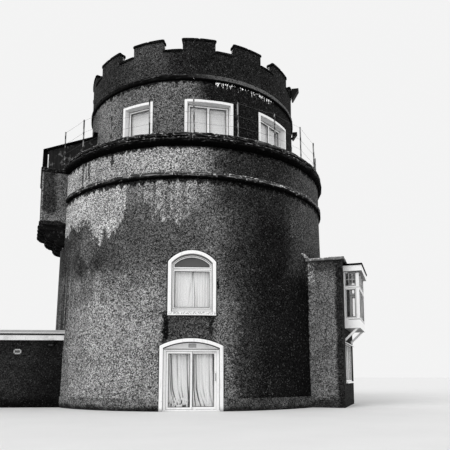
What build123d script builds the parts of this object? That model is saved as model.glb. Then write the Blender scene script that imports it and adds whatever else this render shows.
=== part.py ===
from build123d import *
import math
import os

# A round coastal defence tower turned into a house.
# A thick battered drum carries a smaller drum with a crenellated parapet, set back behind a railed
# gallery. A machicolation hangs on the left, a rectangular bay with an oriel stands on the right,
# and a low flat-roofed wing joins on the left.
# Millimetres, +Z up, origin on the tower's axis at ground level. The patio door faces -Y.
# An azimuth is in degrees from -Y towards +X. Facade pieces are drawn facing -Y and then turned.

# Clearances
slip = 0.3
running_gap = 5
masonry_joint = 6

# Main drum
wall_base_radius = 5880
wall_head_radius = 5720
wall_inner_radius = 3500
batter_top_level = 8100
wall_head_level = 9270
floor_thickness = 60
first_floor_level = 2750
first_floor_depth = 200
vault_spring_level = 6300
vault_crown_level = 8300
front_right_joint = 33
wall_joint_step = 42
rear_joint = 108

# Plinth of the roughcast
plinth_height = 420
plinth_projection = 25
plinth_arc_count = 8

# String course and cornice
string_height = 210
string_projection = 100
cornice_top_level = 9756
cornice_projection = 170
cornice_radius = wall_head_radius + cornice_projection
cornice_depth = 440
cornice_inner_radius = cornice_radius - cornice_depth
cornice_chamfer = 45
band_arcs = 16

# Gallery and top storey
gallery_level = 9600
top_floor_level = 9450
upper_radius = 4590
upper_thickness = 350
upper_head_level = 12430
upper_band_top = 12710
upper_band_projection = 70
upper_band_radius = upper_radius + upper_band_projection
upper_band_depth = 250
roof_depth = 170

# Parapet
parapet_thickness = 280
crenel_level = 13740
merlon_level = 14190
coping_depth = 110
coping_overhang = 40
band_lip = 20
merlon_count = 14
merlon_angle = 16
first_merlon_azimuth = 2.6

# Railing
post_spacing = 16.36
first_post_azimuth = 0.36
posts_left_of_door = 3
post_count = 20
post_inset = 210
post_circle_radius = cornice_radius - post_inset
post_radius = 22
post_top_level = 11130
wire_radius = 5
wire_levels = (11090, 10600, 10180)
cheek_post_step = 100
cheek_post_distance = post_circle_radius + cheek_post_step
cheek_post_inset = 20

# Machicolation and the lean-to that covers it
machicolation_azimuth = -73
machicolation_half_width = 1050
machicolation_projection = 900
machicolation_front = wall_head_radius + machicolation_projection
machicolation_wall = 250
machicolation_bottom = 7240
machicolation_top = 9320
machicolation_coping_top = 9500
machicolation_floor = 160
machicolation_embedment = 83
drop_hole_inset = 125
drop_hole_width = 330
ledge_height = 90
ledge_projection = 45
cornice_stop_angle = 11.6
paving_joint_angle = 0.05
corbel_count = 4
corbel_width = 300
corbel_courses = 3
corbel_lip = 50
corbel_overhang = 120
lean_to_half_width = 970
lean_to_high_level = 11180
lean_to_low_level = 10280
lean_to_setback = 10
lean_to_low_distance = machicolation_front - lean_to_setback
lean_to_depth = 120
lean_to_panel = 50
lean_to_post = 130
lean_to_eaves = 22
flashing_height = 170
flashing_depth = 60

# Surrounds and reveals of the openings
surround_projection = 25
reveal_lining = 20

# Patio door
door_band = 115
door_outer_half = 1075
door_outer_crown = 2430
door_outer_arc = 2436
door_frame_setback = 255
door_frame_front = wall_base_radius - door_frame_setback
door_frame_depth = 125
door_jamb = 105
door_head_bottom = 2000
door_head_top = 2060
door_track_top = 50
leaf_thickness = 42
leaf_stile = 75
leaf_overlap = 70
leaf_bottom_gap = 12
leaf_rebate = 14
head_setback = 20
roller_width = 90
glass_thickness = 16
handle_height = 260
handle_bar = 22
handle_round = 4
handle_level = 1000
handle_standoff = 34
handle_edge_distance = 25

# First-floor window
window_band = 117
window_outer_half = 825
window_outer_crown = 5470
window_outer_arc = 1068
window_bottom = 3210
window_sill_top = 3330
sill_nose = 60
window_frame_setback = 280
window_frame_front = wall_base_radius - window_frame_setback
window_frame_depth = 70
window_jamb = 100
window_light_bottom = 3500
window_transom_bottom = 4770
window_transom_top = 4910
window_jamb_top = 5000

# Windows of the top storey: azimuth, width over the surround and number of lights
upper_windows = (
    (-28.3, 1360, 1),
    (7.7, 1900, 2),
    (46.8, 1965, 2),
    (92, 1900, 2),
    (135, 1900, 2),
    (221, 1900, 2),
    (262, 1900, 2),
)
gallery_door = (178, 1200, 1)
upper_band_width = 100
upper_window_bottom = 10100
upper_window_top = 11660
upper_frame_setback = 200
upper_frame_depth = 60
upper_jamb = 70

# Curtains
curtain_thickness = 70
curtain_gap = 45
curtain_rail_depth = 35
curtain_parting = 40

# Bay on the right
bay_azimuth = 66.9
bay_half_width = 1675
bay_projection = 1000
bay_front = wall_base_radius + bay_projection
bay_wall = 300
bay_wall_top = 5560
bay_coping_top = 5700
bay_coping_overhang = 120
bay_passage_half = 800
bay_passage_height = 2200
bay_passage_arc = 1600
bay_window_near = -1075
bay_window_far = 1125
bay_window_bottom = 950
bay_window_top = 2430
bay_frame_depth = 60
bay_frame_setback = 20
bay_frame_bar = 60
hood_depth = 60
hood_projection = 150
bay_sill_depth = 60

# Oriel on the bay
oriel_projection = 580
oriel_front = bay_front + oriel_projection
oriel_bottom = 3000
oriel_floor = 80
oriel_sill = 3340
oriel_light_bottom = 3420
oriel_transom_bottom = 4510
oriel_transom_top = 4660
oriel_light_top = 5140
oriel_head = 5210
oriel_fascia_top = 5430
oriel_roof_top = 5500
oriel_frame = 60
oriel_post = 80
oriel_fascia_overhang = 120
oriel_roof_overhang = 150
oriel_light_count = 3
bracket_foot = 2500
bracket_width = 80
bracket_bar = 110

# Wing on the left
wing_front = 3200
wing_back = -1200
wing_reach = 3120
wing_end = wall_base_radius + wing_reach
wing_wall = 250
wing_wall_top = 2520
wing_roof_top = 2800
fascia_step_level = 2750
fascia_groove = 25
fascia_top = 2900
fascia_lower_projection = 45
fascia_upper_projection = 95
wing_door_from_end = 1100
wing_door_centre = wing_door_from_end - wing_end
wing_door_width = 950
wing_door_top = 2100
wing_window_from_end = 2550
wing_window_centre = wing_window_from_end - wing_end
wing_window_width = 1200
wing_window_bottom = 1050
wing_joinery_depth = 45
wing_joinery_setback = 80
vent_from_end = 2440
vent_centre = vent_from_end - wing_end
vent_level = 1990
vent_width = 280
vent_height = 190
vent_depth = 18
lamp_from_end = 3670
lamp_centre = lamp_from_end - wing_end
lamp_top = 2480
lamp_width = 300
lamp_height = 200
lamp_depth = 150
lamp_foot_depth = 60

# Floodlights on the top storey: top level, depth, height and width of each housing
floodlight_azimuth = 75
floodlights = (
    (14150, 320, 510, 320),
    (12080, 220, 310, 240),
)
floodlight_lip = 60
floodlight_foot = 50
floodlight_gap = 50
floodlight_bracket = 80
floodlight_bracket_drop = 200

wall_profile = (
    (wall_inner_radius, 0),
    (wall_base_radius, 0),
    (wall_head_radius, batter_top_level),
    (wall_head_radius, wall_head_level),
    (wall_inner_radius, wall_head_level),
)
reach = 2 * bay_front


def wall_radius(level):
    rise = min(level, batter_top_level) / batter_top_level
    return wall_base_radius + (wall_head_radius - wall_base_radius) * rise


def polar(azimuth, radius, level):
    angle = math.radians(azimuth)
    return (radius * math.sin(angle), -radius * math.cos(angle), level)


def turned(shape, azimuth):
    return Rot(0, 0, azimuth) * shape


def ring(profile, start, end):
    face = make_face(Plane.XZ * Polyline(*profile, close=True))
    return Rot(0, 0, start - 90) * revolve(face, Axis.Z, end - start)


def block(inner, outer, bottom, top, start, end):
    return ring(((inner, bottom), (outer, bottom), (outer, top), (inner, top)), start, end)


def disc(radius, bottom, top):
    return Pos(0, 0, (bottom + top) / 2) * Cylinder(radius, top - bottom)


def rectangle(left, right, bottom, top):
    return Pos((left + right) / 2, (bottom + top) / 2) * Rectangle(right - left, top - bottom)


def arch(half, bottom, crown, arc):
    spring = crown - arc + math.sqrt(arc * arc - half * half)
    outline = Polyline((-half, spring), (-half, bottom), (half, bottom), (half, spring))
    return make_face(outline + ThreePointArc((half, spring), (0, crown), (-half, spring)))


def slab(face, near, far):
    return extrude(Plane((0, -near, 0), x_dir=(1, 0, 0), z_dir=(0, -1, 0)) * face, far - near)


def box(left, right, near, far, bottom, top):
    return slab(rectangle(left, right, bottom, top), near, far)


def across(profile, left, right):
    # A profile of distances from the axis and levels, drawn out sideways.
    face = Plane((left, 0, 0), x_dir=(0, -1, 0), z_dir=(-1, 0, 0)) * make_face(profile)
    return extrude(face, left - right)


def drum_mass(offset=0):
    profile = (
        (0, 0),
        (wall_base_radius + offset, 0),
        (wall_head_radius + offset, batter_top_level),
        (wall_head_radius + offset, wall_head_level),
        (0, wall_head_level),
    )
    return ring(profile, 0, 360)


def arcs(profile, start, end, count):
    # A ring course laid in stones with a joint between each two.
    joint = math.degrees(masonry_joint / profile[0][0])
    step = (end - start) / count
    return [
        ring(profile, start + step * i + joint / 2, start + step * (i + 1) - joint / 2)
        for i in range(count)
    ]


def save(name, *shapes):
    solids = [solid for shape in shapes for solid in shape.solids()]
    export_step(Compound(children=solids), "parts/" + name + ".step")


os.makedirs("parts", exist_ok=True)
drum = drum_mass()
top_drum = disc(upper_radius, wall_head_level, merlon_level)
stop_start = machicolation_azimuth + cornice_stop_angle
stop_end = machicolation_azimuth - cornice_stop_angle + 360

# Walls of the main drum, split at the door and at the bay's passages
door_clear_half = door_outer_half - door_band
door_clear_crown = door_outer_crown - door_band
door_clear_arc = door_outer_arc - door_band
door_wall_half = door_clear_half + reveal_lining
window_clear_half = window_outer_half - window_band
window_clear_crown = window_outer_crown - window_band
window_clear_arc = window_outer_arc - window_band
window_wall_half = window_clear_half + reveal_lining

door_strip = box(-door_wall_half, door_wall_half, 0, reach, 0, wall_head_level)
bay_strip = turned(box(-bay_passage_half, bay_passage_half, 0, reach, 0, wall_head_level), bay_azimuth)
door_tunnel = slab(
    arch(door_wall_half, 0, door_clear_crown + reveal_lining, door_clear_arc + reveal_lining), 0, reach
)
window_tunnel = slab(
    arch(window_wall_half, window_sill_top, window_clear_crown + reveal_lining,
         window_clear_arc + reveal_lining), 0, reach
)
passages = [
    turned(slab(arch(bay_passage_half, level, level + bay_passage_height, bay_passage_arc), 0, reach),
           bay_azimuth)
    for level in (0, first_floor_level)
]
back_joints = [rear_joint + wall_joint_step * i for i in range(6)]

save(
    "wall_beside_door",
    ring(wall_profile, -wall_joint_step, 0) - door_strip,
    ring(wall_profile, 0, front_right_joint) - door_strip,
)
save(
    "wall_flanks",
    ring(wall_profile, back_joints[4], back_joints[5]),
    ring(wall_profile, front_right_joint, bay_azimuth) - bay_strip,
)
save(
    "wall_rear_flanks",
    ring(wall_profile, back_joints[3], back_joints[4]),
    ring(wall_profile, bay_azimuth, rear_joint) - bay_strip,
)
save(
    "wall_rear_quarters",
    ring(wall_profile, back_joints[2], back_joints[3]),
    ring(wall_profile, back_joints[0], back_joints[1]),
)
save("wall_rear", ring(wall_profile, back_joints[1], back_joints[2]))

front_strip = ring(wall_profile, -wall_joint_step, wall_joint_step) & door_strip
over_door = (front_strip & box(-reach, reach, 0, reach, 0, window_sill_top)) - door_tunnel
over_window = (front_strip & box(-reach, reach, 0, reach, window_jamb_top, wall_head_level)) - window_tunnel
beside_window = (
    front_strip & box(-reach, reach, 0, reach, window_sill_top, window_jamb_top)
) - window_tunnel
side_strip = ring(wall_profile, front_right_joint, rear_joint) & bay_strip
for passage in passages:
    side_strip = side_strip - passage
save("wall_over_openings", over_door, over_window, side_strip)
save("wall_beside_window", beside_window)

# Floors and the vault
door_floor_end = door_frame_front - door_frame_depth
ground_floor = disc(wall_inner_radius - slip, 0, floor_thickness)
ground_floor += box(-door_wall_half, door_wall_half, 0, door_floor_end, 0, floor_thickness)
bay_inside = bay_half_width - bay_wall
passage_floor = box(-bay_passage_half, bay_passage_half, 0, bay_front - bay_wall, 0, floor_thickness)
bay_floor = box(-bay_inside, bay_inside, 0, bay_front - bay_wall, 0, floor_thickness)
ground_floor += turned(passage_floor, bay_azimuth)
ground_floor += turned(bay_floor, bay_azimuth) - drum
wing_floor = box(-wing_end + wing_wall, 0, wing_back + wing_wall, wing_front - wing_wall,
                 0, floor_thickness) - drum
save("ground_floor", ground_floor, wing_floor)

bay_upper_floor = box(-bay_inside, bay_inside, 0, bay_front - bay_wall,
                      first_floor_level - first_floor_depth, first_floor_level)
save(
    "first_floor",
    disc(wall_inner_radius - slip, first_floor_level - first_floor_depth, first_floor_level),
    turned(bay_upper_floor, bay_azimuth) - drum,
)

vault_half = wall_inner_radius - slip
vault_rise = vault_crown_level - vault_spring_level
vault_arc = (vault_half ** 2 + vault_rise ** 2) / (2 * vault_rise)
vault_middle = vault_arc * math.sin(math.asin(vault_half / vault_arc) / 2)
vault_middle_level = vault_crown_level - vault_arc + math.sqrt(vault_arc ** 2 - vault_middle ** 2)
vault_outline = ThreePointArc(
    (0, vault_crown_level), (vault_middle, vault_middle_level), (vault_half, vault_spring_level)
) + Polyline(
    (vault_half, vault_spring_level), (vault_half, wall_head_level), (0, wall_head_level),
    (0, vault_crown_level)
)
save("vault", revolve(make_face(Plane.XZ * vault_outline), Axis.Z, 360))
save("top_floor", disc(upper_radius - upper_thickness - slip, wall_head_level, top_floor_level))

# Plinth, string course, cornice and gallery
door_angle = math.degrees(math.asin(door_outer_half / wall_base_radius))
plinth_profile = (
    (wall_base_radius, 0),
    (wall_base_radius + plinth_projection, 0),
    (wall_radius(plinth_height) + plinth_projection, plinth_height),
    (wall_radius(plinth_height), plinth_height),
)
bay_solid = turned(
    box(-bay_half_width, bay_half_width, 0, bay_front, 0, bay_wall_top), bay_azimuth
)
wing_solid = box(-wing_end, 0, wing_back, wing_front, 0, wing_roof_top)
plinth_arcs = [
    piece - bay_solid - wing_solid
    for piece in arcs(plinth_profile, door_angle, 360 - door_angle, plinth_arc_count)
]
save("plinth", *plinth_arcs)

string_profile = (
    (wall_head_radius, batter_top_level),
    (wall_head_radius + string_projection - cornice_chamfer, batter_top_level),
    (wall_head_radius + string_projection, batter_top_level + cornice_chamfer),
    (wall_head_radius + string_projection, batter_top_level + string_height - cornice_chamfer),
    (wall_head_radius + string_projection - cornice_chamfer, batter_top_level + string_height),
    (wall_head_radius, batter_top_level + string_height),
)
save("string_course", *arcs(string_profile, stop_start, stop_end, band_arcs))

cornice_profile = (
    (cornice_inner_radius, wall_head_level),
    (cornice_radius - cornice_chamfer, wall_head_level),
    (cornice_radius, wall_head_level + cornice_chamfer),
    (cornice_radius, cornice_top_level - cornice_chamfer),
    (cornice_radius - cornice_chamfer, cornice_top_level),
    (cornice_inner_radius, cornice_top_level),
)
save("cornice", *arcs(cornice_profile, stop_start, stop_end, band_arcs))

paving_profile = (
    (upper_radius, wall_head_level),
    (cornice_inner_radius, wall_head_level),
    (cornice_inner_radius, gallery_level),
    (upper_radius, gallery_level),
)
machicolation_inner = wall_head_radius - machicolation_embedment
save(
    "gallery_paving",
    *arcs(paving_profile, stop_start, stop_end, band_arcs),
    block(upper_radius, machicolation_inner, wall_head_level, gallery_level,
          stop_end - 360 + paving_joint_angle, stop_start - paving_joint_angle),
)


# Top storey: piers between the windows, then the pieces under and over each window
def half_angle(width):
    return math.degrees(width / 2 / upper_radius)


upper_inner = upper_radius - upper_thickness
openings = sorted(
    [(azimuth % 360, width, upper_window_bottom + upper_band_width - reveal_lining)
     for azimuth, width, lights in upper_windows]
    + [(gallery_door[0], gallery_door[1], gallery_level)]
)
opening_head = upper_window_top - upper_band_width + reveal_lining
piers = []
panels = []
for index, (azimuth, width, bottom) in enumerate(openings):
    cut = half_angle(width - 2 * upper_band_width + 2 * reveal_lining)
    following = openings[(index + 1) % len(openings)]
    next_cut = half_angle(following[1] - 2 * upper_band_width + 2 * reveal_lining)
    end = following[0] + (360 if following[0] < azimuth else 0) - next_cut
    piers.append(block(upper_inner, upper_radius, wall_head_level, upper_head_level, azimuth + cut, end))
    for low, high in ((wall_head_level, bottom), (opening_head, upper_head_level)):
        panels.append(block(upper_inner, upper_radius, low, high, azimuth - cut, azimuth + cut))
save("upper_wall_piers", *piers)
save("upper_wall_panels", *panels)

upper_band_profile = (
    (upper_band_radius - upper_band_depth, upper_head_level),
    (upper_band_radius - band_lip, upper_head_level),
    (upper_band_radius, upper_head_level + band_lip),
    (upper_band_radius, upper_band_top - coping_overhang),
    (upper_radius, upper_band_top),
    (upper_band_radius - upper_band_depth, upper_band_top),
)
save("upper_string_course", *arcs(upper_band_profile, 0, 360, band_arcs))
save("roof", disc(upper_band_radius - upper_band_depth - slip, upper_head_level,
                  upper_head_level + roof_depth))

# Parapet, merlons and their copings
parapet_inner = upper_radius - parapet_thickness
merlon_pitch = 360 / merlon_count
merlon_azimuths = [first_merlon_azimuth + merlon_pitch * i for i in range(merlon_count)]
parapet_profile = (
    (parapet_inner, upper_band_top),
    (upper_radius, upper_band_top),
    (upper_radius, crenel_level - coping_depth),
    (parapet_inner, crenel_level - coping_depth),
)
save("parapet", *arcs(parapet_profile, first_merlon_azimuth, first_merlon_azimuth + 360, merlon_count))
save("merlons", *[
    block(parapet_inner, upper_radius, crenel_level - coping_depth, merlon_level - coping_depth,
          azimuth - merlon_angle / 2, azimuth + merlon_angle / 2)
    for azimuth in merlon_azimuths
])
cap_angle = merlon_angle / 2 + math.degrees(coping_overhang / upper_radius)
caps = [
    block(parapet_inner - coping_overhang, upper_radius + coping_overhang,
          merlon_level - coping_depth, merlon_level, azimuth - cap_angle, azimuth + cap_angle)
    for azimuth in merlon_azimuths
]
crenel_copings = [
    block(parapet_inner - coping_overhang, upper_radius + coping_overhang,
          crenel_level - coping_depth, crenel_level,
          azimuth + merlon_angle / 2, azimuth + merlon_pitch - merlon_angle / 2)
    for azimuth in merlon_azimuths
]
save("parapet_copings", *caps, *crenel_copings)

# Railing: posts on the cornice, one more on each cheek of the machicolation, and three wires
cheek_post_offset = machicolation_half_width - cheek_post_inset
post_feet = [
    polar(first_post_azimuth + post_spacing * (i - posts_left_of_door), post_circle_radius,
          cornice_top_level)
    for i in range(post_count)
]
turn = math.radians(machicolation_azimuth)
for side in (-1, 1):
    x = side * cheek_post_offset
    post_feet.append((
        x * math.cos(turn) + cheek_post_distance * math.sin(turn),
        x * math.sin(turn) - cheek_post_distance * math.cos(turn),
        machicolation_coping_top,
    ))
save("railing_posts", *[
    Pos(x, y, (foot + post_top_level) / 2) * Cylinder(post_radius, post_top_level - foot)
    for x, y, foot in post_feet
])
wire_order = [post_feet[-1]] + post_feet[:post_count] + [post_feet[-2]]
wires = []
for first, second in zip(wire_order, wire_order[1:]):
    for level in wire_levels:
        start = Vector(first[0], first[1], level)
        run = Vector(second[0], second[1], level) - start
        along = run.normalized()
        section = Plane(start + along * (post_radius + slip), z_dir=along) * RegularPolygon(wire_radius, 6)
        wires.append(extrude(section, run.length - 2 * (post_radius + slip)))
save("railing_wires", *wires)

# Machicolation: hollow box on stepped corbels
half = machicolation_half_width
inside = half - machicolation_wall
ledge_bottom = machicolation_bottom - ledge_height
back = machicolation_inner + slip
walls = box(-half, half, back, machicolation_front, machicolation_bottom, machicolation_top)
walls += box(-half - ledge_projection, half + ledge_projection, back,
             machicolation_front + ledge_projection, ledge_bottom, machicolation_bottom)
walls -= box(-inside, inside, 0, machicolation_front - machicolation_wall,
             machicolation_bottom + machicolation_floor, machicolation_top)
corbel_step = (2 * half - corbel_width) / (corbel_count - 1)
corbel_centres = [-half + corbel_width / 2 + corbel_step * i for i in range(corbel_count)]
for left, right in zip(corbel_centres, corbel_centres[1:]):
    hole = (left + right) / 2
    walls -= box(hole - drop_hole_width / 2, hole + drop_hole_width / 2,
                 wall_head_radius + drop_hole_inset, machicolation_front - machicolation_wall,
                 ledge_bottom, machicolation_bottom + machicolation_floor)
save("machicolation_walls", turned(walls, machicolation_azimuth) - drum)

corbel_head = machicolation_front + corbel_overhang
corbel_radius = (corbel_head - wall_head_radius) / corbel_courses
corbel_outline = Line((machicolation_inner, ledge_bottom), (corbel_head, ledge_bottom))
reach_out = corbel_head
level = ledge_bottom
for course in range(corbel_courses):
    corbel_outline += Line((reach_out, level), (reach_out, level - corbel_lip))
    level -= corbel_lip
    corner = corbel_radius * math.sqrt(0.5)
    corbel_outline += ThreePointArc(
        (reach_out, level),
        (reach_out - corbel_radius + corner, level - corner),
        (reach_out - corbel_radius, level - corbel_radius),
    )
    reach_out -= corbel_radius
    level -= corbel_radius
corbel_outline += Polyline(
    (reach_out, level), (machicolation_inner, level), (machicolation_inner, ledge_bottom)
)
save("machicolation_corbels", *[
    turned(across(corbel_outline, x - corbel_width / 2, x + corbel_width / 2), machicolation_azimuth) - drum
    for x in corbel_centres
])

coping = box(-half - ledge_projection, half + ledge_projection, back,
             machicolation_front + ledge_projection, machicolation_top, machicolation_coping_top)
coping -= box(-inside + ledge_projection, inside - ledge_projection, 0,
              machicolation_front - machicolation_wall - ledge_projection,
              machicolation_top, machicolation_coping_top)
save("machicolation_coping", turned(coping, machicolation_azimuth))

# Lean-to roof over the machicolation
roof_pitch = (lean_to_high_level - lean_to_low_level) / (lean_to_low_distance - upper_radius)


def lean_to_level(distance):
    return lean_to_low_level + roof_pitch * (lean_to_low_distance - distance)


roof_back = upper_radius - upper_thickness
lean_to_outline = Polyline(
    (roof_back, lean_to_level(roof_back) - lean_to_depth),
    (lean_to_low_distance, lean_to_low_level - lean_to_depth),
    (lean_to_low_distance, lean_to_low_level),
    (upper_radius + flashing_depth, lean_to_level(upper_radius + flashing_depth)),
    (upper_radius + flashing_depth, lean_to_high_level + flashing_height),
    (roof_back, lean_to_high_level + flashing_height),
    close=True,
)
lean_to_roof = across(lean_to_outline, -lean_to_half_width, lean_to_half_width)
save("lean_to_roof", turned(lean_to_roof, machicolation_azimuth) - top_drum)

post_half = lean_to_half_width - ledge_projection
post_front = lean_to_low_distance - lean_to_eaves
panel_outline = Polyline(
    (roof_back, gallery_level),
    (back, gallery_level),
    (back, machicolation_coping_top),
    (post_front, machicolation_coping_top),
    (post_front, lean_to_level(post_front) - lean_to_depth),
    (roof_back, lean_to_level(roof_back) - lean_to_depth),
    close=True,
)
lean_to_walls = across(panel_outline, -post_half, post_half)
lean_to_walls -= across(panel_outline, -post_half + lean_to_panel, post_half - lean_to_panel) & box(
    -reach, reach, 0, post_front - lean_to_panel, 0, merlon_level
)
post_outline = Polyline(
    (post_front - lean_to_post, machicolation_coping_top),
    (post_front, machicolation_coping_top),
    (post_front, lean_to_level(post_front) - lean_to_depth),
    (post_front - lean_to_post, lean_to_level(post_front - lean_to_post) - lean_to_depth),
    close=True,
)
for edge in (-post_half, post_half - lean_to_post):
    lean_to_walls += across(post_outline, edge, edge + lean_to_post)
save("lean_to_walls", turned(lean_to_walls, machicolation_azimuth) - top_drum)

# Patio door: plaster surround and reveal, fixed frame, fixed leaf and sliding leaf
shell = drum_mass(surround_projection) - drum
door_outer = arch(door_outer_half, 0, door_outer_crown, door_outer_arc)
door_clear = arch(door_clear_half, 0, door_clear_crown, door_clear_arc)
door_back = door_frame_front - door_frame_depth
door_surround = slab(door_outer, door_back, reach) & shell
door_surround += slab(
    arch(door_wall_half, 0, door_clear_crown + reveal_lining, door_clear_arc + reveal_lining),
    door_back, reach,
) & drum
door_surround -= slab(door_clear, 0, reach)
save("door_surround", door_surround)

door_inner_half = door_clear_half - door_jamb
frame_face = rectangle(-door_clear_half, door_clear_half, 0, door_head_top) - rectangle(
    -door_inner_half, door_inner_half, door_track_top, door_head_bottom
)
save("door_frame", slab(frame_face, door_back, door_frame_front))
head_panel = arch(door_clear_half, door_head_top, door_clear_crown, door_clear_arc)
save("door_head_panel", slab(head_panel, door_back + head_setback, door_frame_front - head_setback))


def leaf(left, right, bottom, near):
    outer = rectangle(left, right, bottom, door_head_bottom)
    light = rectangle(left + leaf_stile, right - leaf_stile, bottom + leaf_stile,
                      door_head_bottom - leaf_stile)
    middle = near + (leaf_thickness - glass_thickness) / 2
    return slab(outer - light, near, near + leaf_thickness), slab(light, middle, middle + glass_thickness)


leaf_front = door_frame_front - leaf_rebate
fixed_near = leaf_front - leaf_thickness
fixed_leaf, fixed_glass = leaf(-door_inner_half, leaf_overlap / 2, door_track_top, fixed_near)
save("door_fixed_leaf", fixed_leaf)

sliding_near = fixed_near - running_gap - leaf_thickness
sliding_left = -leaf_overlap / 2
sliding_right = door_inner_half - running_gap
sliding_leaf, sliding_glass = leaf(sliding_left, sliding_right, door_track_top + leaf_bottom_gap,
                                   sliding_near)
sliding_leaf -= box(sliding_left, sliding_right, sliding_near, sliding_near + leaf_thickness,
                    door_head_bottom - running_gap, door_head_bottom)
for centre in (sliding_left + 2 * leaf_stile, sliding_right - 2 * leaf_stile):
    sliding_leaf += box(centre - roller_width / 2, centre + roller_width / 2,
                        sliding_near + leaf_thickness / 4, sliding_near + leaf_thickness * 3 / 4,
                        door_track_top + slip, door_track_top + leaf_bottom_gap)
save("sliding_leaf", sliding_leaf)
save("sliding_leaf_glass", sliding_glass)

handle_centre = sliding_right - handle_edge_distance
handle_near = sliding_near + leaf_thickness
handle = box(handle_centre - handle_bar / 2, handle_centre + handle_bar / 2,
             handle_near + handle_standoff - handle_bar / 2, handle_near + handle_standoff,
             handle_level, handle_level + handle_height)
for foot in (handle_level, handle_level + handle_height - handle_bar):
    handle += box(handle_centre - handle_bar / 2, handle_centre + handle_bar / 2, handle_near,
                  handle_near + handle_standoff, foot, foot + handle_bar)
save("sliding_leaf_handle", fillet(handle.edges().filter_by(Axis.Z), handle_round))

# First-floor window: surround with its sill, frame with a fanlight over a transom
window_back = window_frame_front - window_frame_depth
window_outer = arch(window_outer_half, window_bottom, window_outer_crown, window_outer_arc)
window_surround = slab(window_outer, window_back, reach) & shell
window_surround += slab(
    arch(window_wall_half, window_sill_top, window_clear_crown + reveal_lining,
         window_clear_arc + reveal_lining), window_back, reach,
) & drum
window_surround += box(-window_outer_half, window_outer_half, 0, reach,
                       window_bottom, window_sill_top) & (drum_mass(sill_nose) - drum)
window_surround -= slab(
    arch(window_clear_half, window_sill_top, window_clear_crown, window_clear_arc), 0, reach
)
save("window_surround", window_surround)

light_half = window_clear_half - window_jamb
main_light = rectangle(-light_half, light_half, window_light_bottom, window_transom_bottom)
fan_light = arch(light_half, window_transom_top, window_clear_crown - window_jamb,
                 window_clear_arc - window_jamb)
window_face = arch(window_clear_half, window_sill_top, window_clear_crown, window_clear_arc)
save("window_frame", slab(window_face - main_light - fan_light, window_back, window_frame_front))
glazing = [fixed_glass]
glass_near = window_back + (window_frame_depth - glass_thickness) / 2
glazing += [slab(light, glass_near, glass_near + glass_thickness) for light in (main_light, fan_light)]

# Curtains and their rails
rails = []
door_rail_far = door_back - curtain_gap
door_curtain_top = door_head_bottom - curtain_rail_depth
rails.append(box(-door_wall_half, door_wall_half, door_rail_far - curtain_thickness, door_rail_far,
                 door_curtain_top, door_head_bottom))
window_rail_far = window_back - curtain_gap
window_curtain_top = window_transom_bottom + curtain_rail_depth
rails.append(box(-window_wall_half, window_wall_half, window_rail_far - curtain_thickness,
                 window_rail_far, window_curtain_top, window_curtain_top + curtain_rail_depth))
save("curtain_rails", *rails)
save("door_curtains", *[
    box(left, right, door_rail_far - curtain_thickness, door_rail_far,
        floor_thickness + slip, door_curtain_top - slip)
    for left, right in ((-door_clear_half, -curtain_parting / 2), (curtain_parting / 2, door_clear_half))
])
save("window_curtains", *[
    box(left, right, window_rail_far - curtain_thickness, window_rail_far,
        window_sill_top + slip, window_curtain_top - slip)
    for left, right in ((-window_clear_half, -curtain_parting / 2), (curtain_parting / 2, window_clear_half))
])

# Windows of the top storey: surrounds that follow the drum, flat frames set back in them
surrounds = []
frames = []
for azimuth, width, lights in upper_windows + (gallery_door,):
    bottom = gallery_level if (azimuth, width, lights) == gallery_door else upper_window_bottom
    sill_band = 0 if bottom == gallery_level else upper_band_width
    outer = half_angle(width)
    clear = half_angle(width - 2 * upper_band_width)
    lined = half_angle(width - 2 * upper_band_width + 2 * reveal_lining)
    clear_bottom = bottom + sill_band
    clear_top = upper_window_top - upper_band_width
    lining = min(reveal_lining, sill_band)
    surround = block(upper_radius, upper_radius + surround_projection, bottom, upper_window_top,
                     -outer, outer)
    surround += block(upper_inner, upper_radius, clear_bottom - lining, clear_top + reveal_lining,
                      -lined, lined)
    surround -= block(0, upper_radius + surround_projection, clear_bottom, clear_top, -clear, clear)
    surrounds.append(turned(surround, azimuth))
    front = upper_radius * math.cos(math.radians(clear)) - upper_frame_setback
    near = front - upper_frame_depth
    frame_half = near * math.tan(math.radians(clear))
    light_width = (2 * frame_half - (lights + 1) * upper_jamb) / lights
    face = rectangle(-frame_half, frame_half, clear_bottom, clear_top)
    for i in range(lights):
        left = -frame_half + upper_jamb + i * (light_width + upper_jamb)
        light = rectangle(left, left + light_width, clear_bottom + upper_jamb, clear_top - upper_jamb)
        face -= light
        middle = near + (upper_frame_depth - glass_thickness) / 2
        glazing.append(turned(slab(light, middle, middle + glass_thickness), azimuth))
    frames.append(turned(slab(face, near, front), azimuth))
save("upper_surrounds", *surrounds)
save("upper_window_frames", *frames)

# Bay: two side walls, an outer wall with two windows, and a coping slab
side_walls = [
    turned(box(left, right, 0, bay_front - bay_wall, 0, bay_wall_top), bay_azimuth) - drum
    for left, right in ((-bay_half_width, -bay_inside), (bay_inside, bay_half_width))
]
save("bay_side_walls", *side_walls)
outer_wall = rectangle(-bay_half_width, bay_half_width, 0, bay_wall_top)
outer_wall -= rectangle(bay_window_near, bay_window_far, bay_window_bottom, bay_window_top)
outer_wall -= rectangle(bay_window_near + oriel_post, bay_window_far - oriel_post,
                        oriel_bottom + oriel_floor, oriel_head)
save("bay_outer_wall", turned(slab(outer_wall, bay_front - bay_wall, bay_front), bay_azimuth))
bay_coping_half = bay_half_width + bay_coping_overhang
bay_coping = box(-bay_coping_half, bay_coping_half, 0, bay_front + bay_coping_overhang,
                 bay_wall_top, bay_coping_top)
save("bay_coping", turned(bay_coping, bay_azimuth) - drum)

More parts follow.
